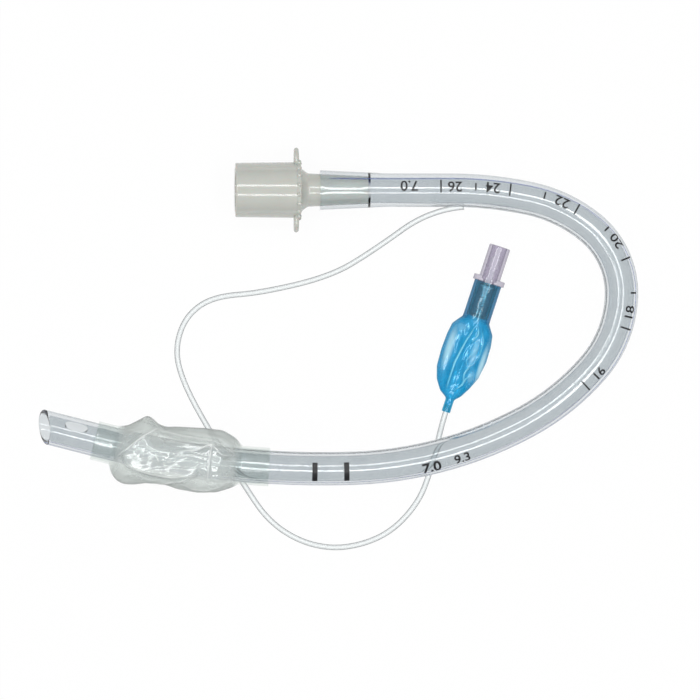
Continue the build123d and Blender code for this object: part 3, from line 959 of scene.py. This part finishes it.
        # Highlight is painted on the fold crests and at half strength on the seam bead; shade is painted
        # beside the folds.
        marks = np.stack([np.maximum(crest, 0.5 * seam), shade * (1 - crest)], axis=-1)
        return np.maximum(outer, self.collar_radius), slack, marks * slack[..., None]

    def build(self, body: str) -> None:
        """Works the film out on a grid of length and angle and puts it on the tube.

        The inner side is the outer less the wall, which is thick at the bonded collars, and
        nothing goes below the floor.
        """
        from_tip = np.linspace(self.tip_end, self.machine_end, self.rows)
        angle = np.linspace(0, 2 * pi, self.columns, endpoint=False)
        along, turn = np.meshgrid(from_tip, angle, indexing="ij")
        outer, slack, marks = self.shape(along, turn)
        wall = self.film_wall + (self.collar_radius - self.inner_radius - self.film_wall) * (1 - slack)
        distance = ROUTE.length - along
        skins = []
        for radius in (outer, outer - wall):
            points = ROUTE.wrap(distance, turn, radius)
            points[..., 2] = np.maximum(points[..., 2], self.floor * MM + (outer - radius) * MM)
            skins.append(points)
        loop = np.concatenate([skins[0], skins[1][::-1]], axis=0)
        loose = 0.05 + 0.95 * slack
        look = np.concatenate([marks, loose[..., None]], axis=-1)
        bare = look * np.array([0.0, 0.0, 0.5])
        look = np.concatenate([look, bare[::-1]], axis=0)
        film = grid_object("cuff_film", loop, wrap_rows=True, wrap_columns=True, film=look)
        turn_outwards(film)
        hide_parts("cuff")
        dress(film, CUFF_FILM.build(), body)


def turn_outwards(piece: bpy.types.Object, merge_poles: bool = False) -> None:
    """Turns a piece's faces outwards, after merging the points of each pole if asked."""
    work = bmesh.new()
    work.from_mesh(piece.data)
    if merge_poles:
        bmesh.ops.remove_doubles(work, verts=work.verts[:], dist=1e-7)
    bmesh.ops.recalc_face_normals(work, faces=work.faces[:])
    work.to_mesh(piece.data)
    work.free()


# Pilot balloon, valve and hose
@dataclass
class PilotLine:
    """The hose, the blue pilot balloon on its end and the valve's spring."""

    tail_end: tuple[float, float, float] = (29.5, -25.05, 2.6)
    heading: float = 18.15
    flange_radius: float = 4.45
    tail_length: float = 3.8
    pouch_length: float = 23.1
    sleeve_length: float = 10.85
    pouch_half: float = 6.55
    sleeve_radius: float = 3.85
    sleeve_bore: float = 3.05
    tail_radius: float = 1.2
    tail_bore: float = 0.8
    film_wall: float = 0.2
    hose_radius: float = 0.75
    hose_bore: float = 0.4
    spring_foot: float = 28.85
    spring_length: float = 6.98
    spring_radius: float = 1.05
    spring_wire: float = 0.15
    spring_coils: int = 7
    travel: float = 2.0
    stations: tuple[tuple[float, float, float, float], ...] = (
        (0.061, 0.52, 0.40, 0.42), (0.182, 0.81, 0.64, 0.57), (0.333, 0.98, 0.87, 0.73),
        (0.550, 1.02, 0.98, 0.83), (0.745, 0.99, 0.96, 0.91), (0.879, 0.92, 0.88, 0.96),
        (0.957, 0.72, 0.69, 0.99),
    )  # fmt: skip
    # Each crease: course, height, thickness and the strength of the highlight painted along its crest.
    creases: tuple[tuple[tuple[tuple[float, float], ...], float, float, float], ...] = (
        (((0.02, -0.28), (0.2, -0.3), (0.45, -0.3), (0.75, -0.12), (0.98, 0.1)), 1.0, 0.10, 1.0),
        (((0.72, 0.1), (0.85, 0.3), (0.97, 0.12)), 0.5, 0.08, 0.8),
        (((0.45, 0.42), (0.58, 0.62), (0.78, 0.6), (0.95, 0.3)), 0.5, 0.12, 0.6),
        (((0.10, 0.02), (0.2, 0.28), (0.3, 0.36), (0.36, 0.62)), 0.5, 0.10, 0.9),
        (((0.22, 0.34), (0.34, 0.22), (0.46, 0.36), (0.52, 0.56)), 0.5, 0.10, 0.8),
        (((0.40, 0.36), (0.5, 0.12), (0.6, 0.3), (0.7, 0.5)), 0.4, 0.10, 0.5),
        (((0.12, -0.05), (0.3, 0.0), (0.5, 0.05)), -0.3, 0.10, 0.0),
        (((0.30, -0.75), (0.6, -0.72), (0.92, -0.45)), 0.35, 0.12, 0.3),
    )  # fmt: skip
    # Highlights painted as pale patches on the upper film: place, centre, length, breadth and strength.
    painted_highlight_patches: tuple[tuple[float, float, float, float, float], ...] = (
        (0.60, -0.72, 0.30, 0.2, 0.95), (0.88, -0.5, 0.08, 0.3, 0.5), (0.62, 0.35, 0.22, 0.18, 0.6),
        (0.5, 0.82, 0.3, 0.13, 1.0), (0.33, 0.55, 0.1, 0.2, 0.55),
    )  # fmt: skip
    route: list[tuple[float, float, float]] = field(
        default_factory=lambda: [
            (34.46, 31.85, 6.48), (25.1, 31.1, 6.1), (9.5, 19.9, 2.4), (-2.4, 12.7, 0.77),
            (-21.6, 8.1, 0.77), (-35.2, 7.0, 0.77), (-42.4, 2.1, 0.77), (-45.6, -5.7, 0.77),
            (-44.9, -13.7, 0.77), (-39.1, -25.9, 0.77), (-26.3, -46.1, 0.77), (-20.2, -55.1, 0.77),
            (-11.9, -60.9, 0.77), (-2.4, -63.3, 0.77), (7.0, -61.9, 0.77), (15.1, -57.9, 0.77),
            (22.0, -50.1, 0.77), (25.2, -41.8, 0.77), (27.4, -32.9, 0.77), (28.76, -27.25, 2.48),
            (30.12, -23.15, 2.70),
        ]
    )  # fmt: skip

    def axes(self) -> tuple[np.ndarray, np.ndarray, np.ndarray]:
        """The pilot balloon's axis, its right-hand side and its up direction."""
        reach = self.tail_length + self.pouch_length + self.sleeve_length
        rise = np.arcsin((self.flange_radius - self.tail_end[2]) / reach)
        turn = radians(self.heading)
        ahead = np.array([sin(turn) * cos(rise), cos(turn) * cos(rise), sin(rise)])
        right = np.array([cos(turn), -sin(turn), 0.0])
        return ahead, right, np.cross(right, ahead)

    def place(self, along: np.ndarray, right: np.ndarray, up: np.ndarray) -> np.ndarray:
        """Points by distance from the tail's end, to the right and up, from mm to metres."""
        ahead, side, above = self.axes()
        flat = along[..., None] * ahead + right[..., None] * side + up[..., None] * above
        return (np.array(self.tail_end) + flat) * MM

    def pouch(self) -> bpy.types.Object:
        """The balloon, one blown piece: tail, creased pouch and sleeve.

        Its section is an oval whose half width and half height come from the stations. On the
        pouch the upper and lower film carry creases: ridges and one furrow along courses given
        by their share of the way from tail to sleeve, each a narrow bell across its course.

        Returns:
            The pouch as a closed shell.
        """
        pouch_end = self.tail_length + self.pouch_length
        along = np.concatenate([
            np.linspace(0, self.tail_length, 24, endpoint=False),
            np.linspace(self.tail_length, pouch_end, 150, endpoint=False),
            np.linspace(pouch_end, pouch_end + self.sleeve_length, 26),
        ])
        angle = np.linspace(0, 2 * pi, 220, endpoint=False)
        table = [(0.0, *[self.tail_radius] * 3)]
        half = self.pouch_half
        table += [(s, a * half, b * half, c * self.sleeve_radius) for s, a, b, c in self.stations]
        table.append((1.0, *[self.sleeve_radius] * 3))
        rows = np.array(table, float)
        share = np.clip((along - self.tail_length) / self.pouch_length, 0, 1)
        kernel = np.exp(-(np.linspace(-2, 2, 11) ** 2))
        kernel /= kernel.sum()
        sizes = []
        for column in range(1, 4):
            line = np.interp(share, rows[:, 0], rows[:, column])
            sizes.append(np.convolve(np.pad(line, 5, mode="edge"), kernel, mode="valid")[:, None])
        left, right, thick = sizes
        s, turn = np.meshgrid(along, angle, indexing="ij")
        width = np.where(np.cos(turn) > 0, right, left)
        across = width * np.cos(turn)
        share = share[:, None]
        slack = smooth_steps(share, 0.0, 0.2) * (1 - smooth_steps(share, 0.88, 1.0))
        relief, crest = np.zeros_like(turn), np.zeros_like(turn)
        spread = across / half
        for course, height, thickness, line in self.creases:
            start, end = course[0][0], course[-1][0]
            down = np.clip((share - start) / (end - start), 0, 1) + 0 * turn
            live = np.sin(pi * down) ** 0.5
            gap = (spread - smooth_course(course, share, 0.04)) / thickness
            relief = relief + height * live * np.exp(0.2 - np.sqrt(gap**2 + 0.04))
            # A highlight is painted along each crease's crest.
            crest = np.maximum(crest, line * live * np.exp(-((gap * thickness / 0.045) ** 2)))
        ripple = 0.08 * np.sin(19 * spread + 9 * share) + 0.07 * np.sin(11 * spread - 23 * share + 1.0)
        above = np.sin(turn)
        height = thick * above + slack * (relief - 0.4 + ripple) * above * np.abs(above) ** 0.3
        # Pale patches of painted highlight on the upper film.
        patch = np.zeros_like(turn)
        for place, centre, length, breadth, strength in self.painted_highlight_patches:
            bell = ((share - place) / length) ** 2 + ((spread - centre) / breadth) ** 2
            patch = np.maximum(patch, strength * np.exp(-(bell**1.5)))
        marks = np.stack([crest * (above > 0), patch * (above > 0), 1 + 0 * turn], axis=-1)
        sleeve = smooth_steps(s, pouch_end - 1, pouch_end + 1)
        loose = (1 - sleeve) + sleeve * np.where(above > 0, 0.15, 4.0)
        marks = marks * np.stack([slack + 0 * turn, slack + 0 * turn, loose], axis=-1)
        # The sleeve's lower wall gets half of the pale patch colour: light painted into its shade under the
        # spring.
        painted_light_below = 0.5 * sleeve * (above <= 0)
        marks[..., 1] = np.maximum(marks[..., 1], painted_light_below)
        floor = -(np.array(self.tail_end)[2] + self.axes()[0][2] * s) + 0.15
        skins = []
        wall = self.film_wall + 0 * slack
        wall = np.where(s > pouch_end - 0.5, self.sleeve_radius - self.sleeve_bore, wall)
        wall = np.where(s < self.tail_length, self.tail_radius - self.tail_bore, wall)
        for inset in (0.0, 1.0):
            scale = 1 - inset * wall / np.maximum(width, thick)
            skin_up = np.maximum(height * (1 - inset * wall / np.maximum(thick, 0.5)), floor + inset * wall)
            skins.append(self.place(s, across * scale, skin_up))
        loop = np.concatenate([skins[0], skins[1][::-1]], axis=0)
        bare = marks * np.array([0.0, 0.0, 0.5])
        bare[..., 1] = painted_light_below
        look = np.concatenate([marks, bare[::-1]], axis=0)
        piece = grid_object("pilot_pouch", loop, wrap_rows=True, wrap_columns=True, film=look)
        turn_outwards(piece)
        return piece

    def hose_line(self) -> np.ndarray:
        """The hose's centreline: points of one NURBS line of order 3 through the route."""
        curve = bpy.data.curves.new("hose_route", "CURVE")
        curve.dimensions = "3D"
        curve.resolution_u = 24
        spline = curve.splines.new("NURBS")
        spline.points.add(len(self.route) - 1)
        flat = np.concatenate([np.array(self.route) * MM, np.ones((len(self.route), 1))], axis=1)
        spline.points.foreach_set("co", flat.reshape(-1))
        spline.order_u = 3
        spline.use_endpoint_u = True
        guide = bpy.data.objects.new("hose_route", curve)
        bpy.context.scene.collection.objects.link(guide)
        bpy.context.view_layer.update()
        mesh = bpy.data.meshes.new_from_object(guide)
        points = mesh_points(mesh)
        bpy.data.objects.remove(guide)
        bpy.data.meshes.remove(mesh)
        return points

    def hose(self, line: np.ndarray) -> bpy.types.Object:
        """The hollow hose: a ring section carried along the line, its bore and wall one shell.

        The section's plane is square to the line: one axis is the tangent crossed with up,
        the other completes the right-handed set.

        Args:
            line: the centreline's points in metres.

        Returns:
            The hose.
        """
        tangent = unit(np.gradient(line, axis=0))
        side = unit(np.cross(tangent, np.array([0.0, 0.0, 1.0])))
        above = np.cross(side, tangent)
        angle = np.linspace(0, 2 * pi, 20, endpoint=False)
        across, up = np.cos(angle)[None, :, None], np.sin(angle)[None, :, None]
        ring = across * side[:, None, :] + up * above[:, None, :]
        skins = [line[:, None, :] + radius * MM * ring for radius in (self.hose_radius, self.hose_bore)]
        loop = np.concatenate([skins[0], skins[1][::-1]], axis=0)
        look = np.zeros(loop.shape)
        look[: len(line), :, 2] = 1.0
        piece = grid_object("inflation_hose", loop, wrap_rows=True, wrap_columns=True, film=look)
        turn_outwards(piece)
        return piece

    def spring(self) -> bpy.types.Object:
        """The coil spring: a round wire along a helix, with half a flat coil at each end."""
        turns = np.linspace(0, self.spring_coils + 1, 560)
        lift = np.clip(turns - 0.5, 0, self.spring_coils) / self.spring_coils
        along = self.spring_foot + lift * self.spring_length
        turn = 2 * pi * turns
        wire = np.linspace(0, 2 * pi, 10, endpoint=False)
        reach = self.spring_radius + self.spring_wire * np.cos(wire)[None, :]
        s = along[:, None] + self.spring_wire * np.sin(wire)[None, :]
        points = self.place(s, reach * np.cos(turn)[:, None], reach * np.sin(turn)[:, None])
        ends = [np.broadcast_to(points[k].mean(0), points[k].shape) for k in (0, -1)]
        points = np.concatenate([ends[0][None], points, ends[1][None]], axis=0)
        piece = grid_object("spring_coil", points, wrap_columns=True)
        turn_outwards(piece, merge_poles=True)
        return piece

    def build(self, body: str) -> None:
        line = self.hose_line()
        hose = self.hose(line)
        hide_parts("inflation_line")
        dress(hose, CLEAR_HOSE.build(), body)
        pouch = self.pouch()
        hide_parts("pilot_balloon")
        dress(pouch, BLUE_FILM.build(), body)
        coil = self.spring()
        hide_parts("valve_spring")
        dress(coil, SPRING_WIRE.build(), body)
        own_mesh(coil)


# Connector
@dataclass
class Connector:
    """The moulded 15 mm connector: turned body, two lugs with round edges and a beaded rim."""

    mouth: float = -23.55
    cone_face: float = -7.35
    rim_back: float = -6.45
    rim_face: float = -5.35
    neck_start: float = -3.4
    nipple_end: float = 13.3
    mouth_radius: float = 7.55
    root_radius: float = 7.75
    cone_bore: float = 6.2
    rim_radius: float = 7.85
    shoulder_radius: float = 6.1
    neck_radius: float = 4.65
    nipple_radius: float = 3.84
    neck_bore: float = 3.0
    bead_count: int = 18
    bead_centre: float = 7.78
    bead_size: tuple[float, float, float] = (0.74, 0.62, 0.68)
    lug_root: float = 7.0
    lug_round: float = 8.6
    lug_half_width: float = 3.2
    lug_thickness: float = 1.5

    def place(self, along: np.ndarray, across: np.ndarray, up: np.ndarray) -> np.ndarray:
        """Points by distance from the tube's machine end, to the left of the tube and up."""
        ahead, left, above = ROUTE.axes
        flat = along[..., None] * ahead + across[..., None] * left + up[..., None] * above
        return (np.array(ROUTE.start_mm) + flat) * MM

    def rounded(self, corners: tuple[tuple[float, float, float], ...]) -> np.ndarray:
        """A closed outline whose corners are rounded, each by a parabola between its two sides.

        Args:
            corners: place along the axis, radius and corner radius, in mm.

        Returns:
            The outline's points, two more close to each corner to keep the flats flat.
        """
        table = np.array(corners, float)
        spot, size = table[:, :2], table[:, 2:]
        back = unit(np.roll(spot, 1, axis=0) - spot)
        ahead = unit(np.roll(spot, -1, axis=0) - spot)
        share = np.array([0.0, 0.2, 0.4, 0.6, 0.8, 1.0])[None, :, None]
        start, end = (spot + back * size)[:, None, :], (spot + ahead * size)[:, None, :]
        arc = (1 - share) ** 2 * start + 2 * share * (1 - share) * spot[:, None, :] + share**2 * end
        inward = (spot + back * size * 1.5)[:, None, :]
        outward = (spot + ahead * size * 1.5)[:, None, :]
        return np.concatenate([inward, arc, outward], axis=1).reshape(-1, 2)

    def body(self) -> bpy.types.Object:
        """The turned body: the rounded outline carried round the axis."""
        outline = self.rounded((
            (self.mouth, self.cone_bore, 0.2), (self.mouth, self.mouth_radius, 0.45),
            (self.cone_face, self.root_radius, 0.05), (self.rim_back, self.root_radius, 0.05),
            (self.rim_back, self.rim_radius, 0.05), (self.rim_face, self.rim_radius, 0.25),
            (self.rim_face, self.shoulder_radius, 0.2), (self.neck_start, self.neck_radius, 0.4),
            (self.nipple_end, self.nipple_radius, 0.2), (self.nipple_end, self.neck_bore, 0.2),
            (self.neck_start, self.neck_bore, 0.4), (self.cone_face, self.cone_bore, 0.4),
        ))  # fmt: skip
        angle = np.linspace(0, 2 * pi, 120, endpoint=False)
        along, turn = np.meshgrid(outline[:, 0], angle, indexing="ij")
        radius = outline[:, 1:] + 0 * turn
        points = self.place(along, radius * np.sin(turn), radius * np.cos(turn))
        piece = grid_object("connector_body", points, wrap_rows=True, wrap_columns=True)
        turn_outwards(piece)
        return piece

    def bead(self, number: int) -> bpy.types.Object:
        """One bead of the rim, an egg shape by two angles, its closed poles on the axis line."""
        turn = 2 * pi * (number + 0.5) / self.bead_count
        circle = np.linspace(0, 2 * pi, 18, endpoint=False)
        tall, round_it = np.meshgrid(np.linspace(0, pi, 11), circle, indexing="ij")
        long, wide, deep = self.bead_size
        along = (self.rim_back + self.rim_face) / 2 + long * np.cos(tall)
        side = wide * np.sin(tall) * np.cos(round_it)
        out = self.bead_centre + deep * np.sin(tall) * np.sin(round_it)
        points = self.place(along, out * sin(turn) + side * cos(turn), out * cos(turn) - side * sin(turn))
        return grid_object("bead", points, wrap_columns=True)

    def lug(self, side: float) -> bpy.types.Object:
        """One lug: its outline, straight sides and a half round end, shrunk ring by ring to both faces.

        A ring's size follows the cosine and its height the sine of an angle from face to
        face, so that the edge is round.

        Args:
            side: 1 for the lug away from the tube's inner curve, -1 for the other.

        Returns:
            The lug, still open at its two pole points until its doubles are merged.
        """
        half = self.lug_half_width
        bend = np.linspace(-pi / 2, pi / 2, 33)
        end = np.stack([self.lug_round + half * np.cos(bend), half * np.sin(bend)], axis=-1)
        base = np.linspace(half, -half, 17)[1:-1]
        foot = np.stack([np.full(base.size, self.lug_root), base], axis=-1)
        corner = np.array([[self.lug_root, half]])
        outline = np.concatenate([end, corner, foot, corner * np.array([1, -1])])
        centre = np.array([self.lug_round, 0.0])
        edge = np.linspace(pi / 2, -pi / 2, 11)
        size = np.concatenate([[0.0, 0.4], 0.78 + 0.22 * np.cos(edge), [0.4, 0.0]])
        lift = np.concatenate([[1.0, 1.0], np.sin(edge), [-1.0, -1.0]]) * self.lug_thickness / 2
        flat = centre + (outline - centre)[None, :, :] * size[:, None, None]
        draft = 1 - 0.1 * (flat[..., 0] - self.lug_root) / (self.lug_round + half - self.lug_root)
        along = self.cone_face + self.lug_thickness / 2 + lift[:, None] * draft
        return grid_object("lug", self.place(along, side * flat[..., 0], flat[..., 1]), wrap_columns=True)

    def build(self, body: str) -> None:
        """Joins the body, the lugs and the beads to one moulding and puts it on the tube."""
        parts = [self.body(), self.lug(1.0), self.lug(-1.0)]
        parts += [self.bead(number) for number in range(self.bead_count)]
        for part in parts[1:]:
            turn_outwards(part, merge_poles=True)
        moulding = join_pieces("connector_moulding", parts)
        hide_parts("circuit_connector")
        dress(moulding, WHITE_PP.build(), body)


# Carried-over CAD nodes
CAD_FINISHES: dict[str, Finish | FilmFinish] = {
    "tube_shaft": CLEAR_PVC,
    "valve_body": LILAC,
    "valve_plunger": WHITE_ACETAL,
    "valve_seal": DARK_RUBBER,
    "valve_retainer": DARK_PLASTIC,
}


def dress_nodes() -> None:
    """Puts each rigid CAD node's finish on it."""
    for node, finish in CAD_FINISHES.items():
        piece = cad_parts[node]
        piece.data.materials.clear()
        piece.data.materials.append(finish.build())
        LOG.info("%s in %s", node, finish.name)


# Table, lamps and camera
@dataclass
class Studio:
    """White table, soft surround, a square of strip lamps and the camera above."""

    scale: float = 3.6
    centre_pixel: tuple[float, float] = (339.8, 321.64)
    image: int = 700
    camera_height: float = 2.0
    focus_height: float = 6.0
    lamp_height: float = 0.9
    lamp_offset: float = 0.32
    lamp_length: float = 0.62
    lamp_width: float = 0.11
    lamp_radiance: float = 7.0
    surround: float = 0.62
    horizon: float = 0.1
    white_share: float = 0.95

    def table(self) -> None:
        """A flat table 4 m across.

        Its paper is near white; what the camera, a reflection or glass sees of it is mostly
        plain white light, and the rest keeps the object's shadow.
        """
        edge = np.array([-2.0, 2.0])
        rows, columns = np.meshgrid(edge, edge, indexing="ij")
        floor = grid_object("table_top", np.stack([rows, columns, 0 * rows - 0.00002], axis=-1))
        turn_outwards(floor)
        material = bpy.data.materials.new("white paper, matt")
        material.use_nodes = True
        tree = material.node_tree
        tree.nodes.clear()
        paper = add_node(tree, "ShaderNodeBsdfDiffuse", values={"Color": srgb("F2F2F2")})
        white = add_node(tree, "ShaderNodeEmission", values={"Strength": 1.0})
        ray = add_node(tree, "ShaderNodeLightPath")
        seen = ray.outputs["Is Camera Ray"]
        for kind in ("Is Glossy Ray", "Is Transmission Ray"):
            both = add_node(
                tree,
                "ShaderNodeMath",
                settings={"operation": "ADD", "use_clamp": True},
                links={0: seen, 1: ray.outputs[kind]},
            )
            seen = both.outputs[0]
        share = add_node(
            tree,
            "ShaderNodeMath",
            settings={"operation": "MULTIPLY"},
            values={1: self.white_share},
            links={0: seen},
        )
        mixed = add_node(
            tree,
            "ShaderNodeMixShader",
            links={0: share.outputs[0], 1: paper.outputs[0], 2: white.outputs[0]},
        )
        add_node(tree, "ShaderNodeOutputMaterial", links={"Surface": mixed.outputs[0]})
        floor.data.materials.append(material)

    def sky(self) -> None:
        """A soft surround: mid grey, darker towards the horizon, white where the camera sees it."""
        world = bpy.data.worlds.new("studio surround")
        bpy.context.scene.world = world
        world.use_nodes = True
        tree = world.node_tree
        tree.nodes.clear()
        ray = add_node(tree, "ShaderNodeLightPath")
        way = add_node(tree, "ShaderNodeTexCoord")
        parts = add_node(tree, "ShaderNodeSeparateXYZ", links={0: way.outputs["Generated"]})
        height = add_node(
            tree,
            "ShaderNodeMapRange",
            values={"From Max": 0.7, "To Min": self.horizon, "To Max": self.surround},
            links={"Value": parts.outputs["Z"]},
        )
        grey = add_node(
            tree,
            "ShaderNodeBackground",
            values={"Color": (1, 1, 1, 1)},
            links={"Strength": height.outputs["Result"]},
        )
        white = add_node(tree, "ShaderNodeBackground", values={"Color": (1, 1, 1, 1), "Strength": 1.0})
        mixed = add_node(
            tree,
            "ShaderNodeMixShader",
            links={0: ray.outputs["Is Camera Ray"], 1: grey.outputs[0], 2: white.outputs[0]},
        )
        add_node(tree, "ShaderNodeOutputWorld", links={"Surface": mixed.outputs[0]})

    def lamps(self) -> None:
        """Four strip lamps in a square about the camera's line, which leave two streaks on a cylinder."""
        for number in range(4):
            turn = number * pi / 2
            lamp = bpy.data.lights.new(f"strip_{number}", "AREA")
            lamp.shape = "RECTANGLE"
            lamp.size = self.lamp_length
            lamp.size_y = self.lamp_width
            lamp.energy = self.lamp_radiance * self.lamp_length * self.lamp_width * pi
            strip = bpy.data.objects.new(f"strip_{number}", lamp)
            strip.location = (-self.lamp_offset * sin(turn), self.lamp_offset * cos(turn), self.lamp_height)
            strip.rotation_euler = (0.0, 0.0, turn)
            bpy.context.scene.collection.objects.link(strip)

    def camera(self) -> None:
        """A long lens straight above, framed so that a photo pixel falls on its point on the table."""
        half = self.image / 2
        x = (half - self.centre_pixel[0]) / self.scale * MM
        y = (self.centre_pixel[1] - half) / self.scale * MM
        lens = bpy.data.cameras.new("camera")
        lens.sensor_width = 36.0
        lens.lens = 36.0 * self.camera_height / (self.image / self.scale * MM)
        lens.clip_end = 10.0
        eye = bpy.data.objects.new("camera", lens)
        eye.location = (x, y, self.camera_height + self.focus_height * MM)
        bpy.context.scene.collection.objects.link(eye)
        bpy.context.scene.camera = eye

    def build(self) -> None:
        """Sets the table, surround, lamps and camera up."""
        bpy.context.scene.view_settings.view_transform = "Standard"
        self.table()
        self.sky()
        self.lamps()
        self.camera()


def main() -> None:
    """Builds the scene: studio, hose and balloon, cuff, print, connector, then the carried nodes."""
    logging.basicConfig(level=logging.INFO, format="%(name)s: %(message)s")
    Studio().build()
    PilotLine().build("tube")
    CuffFilm().build("tube")
    TubePrint().build("tube")
    Connector().build("tube")
    dress_nodes()


if __name__ == "__main__":
    main()
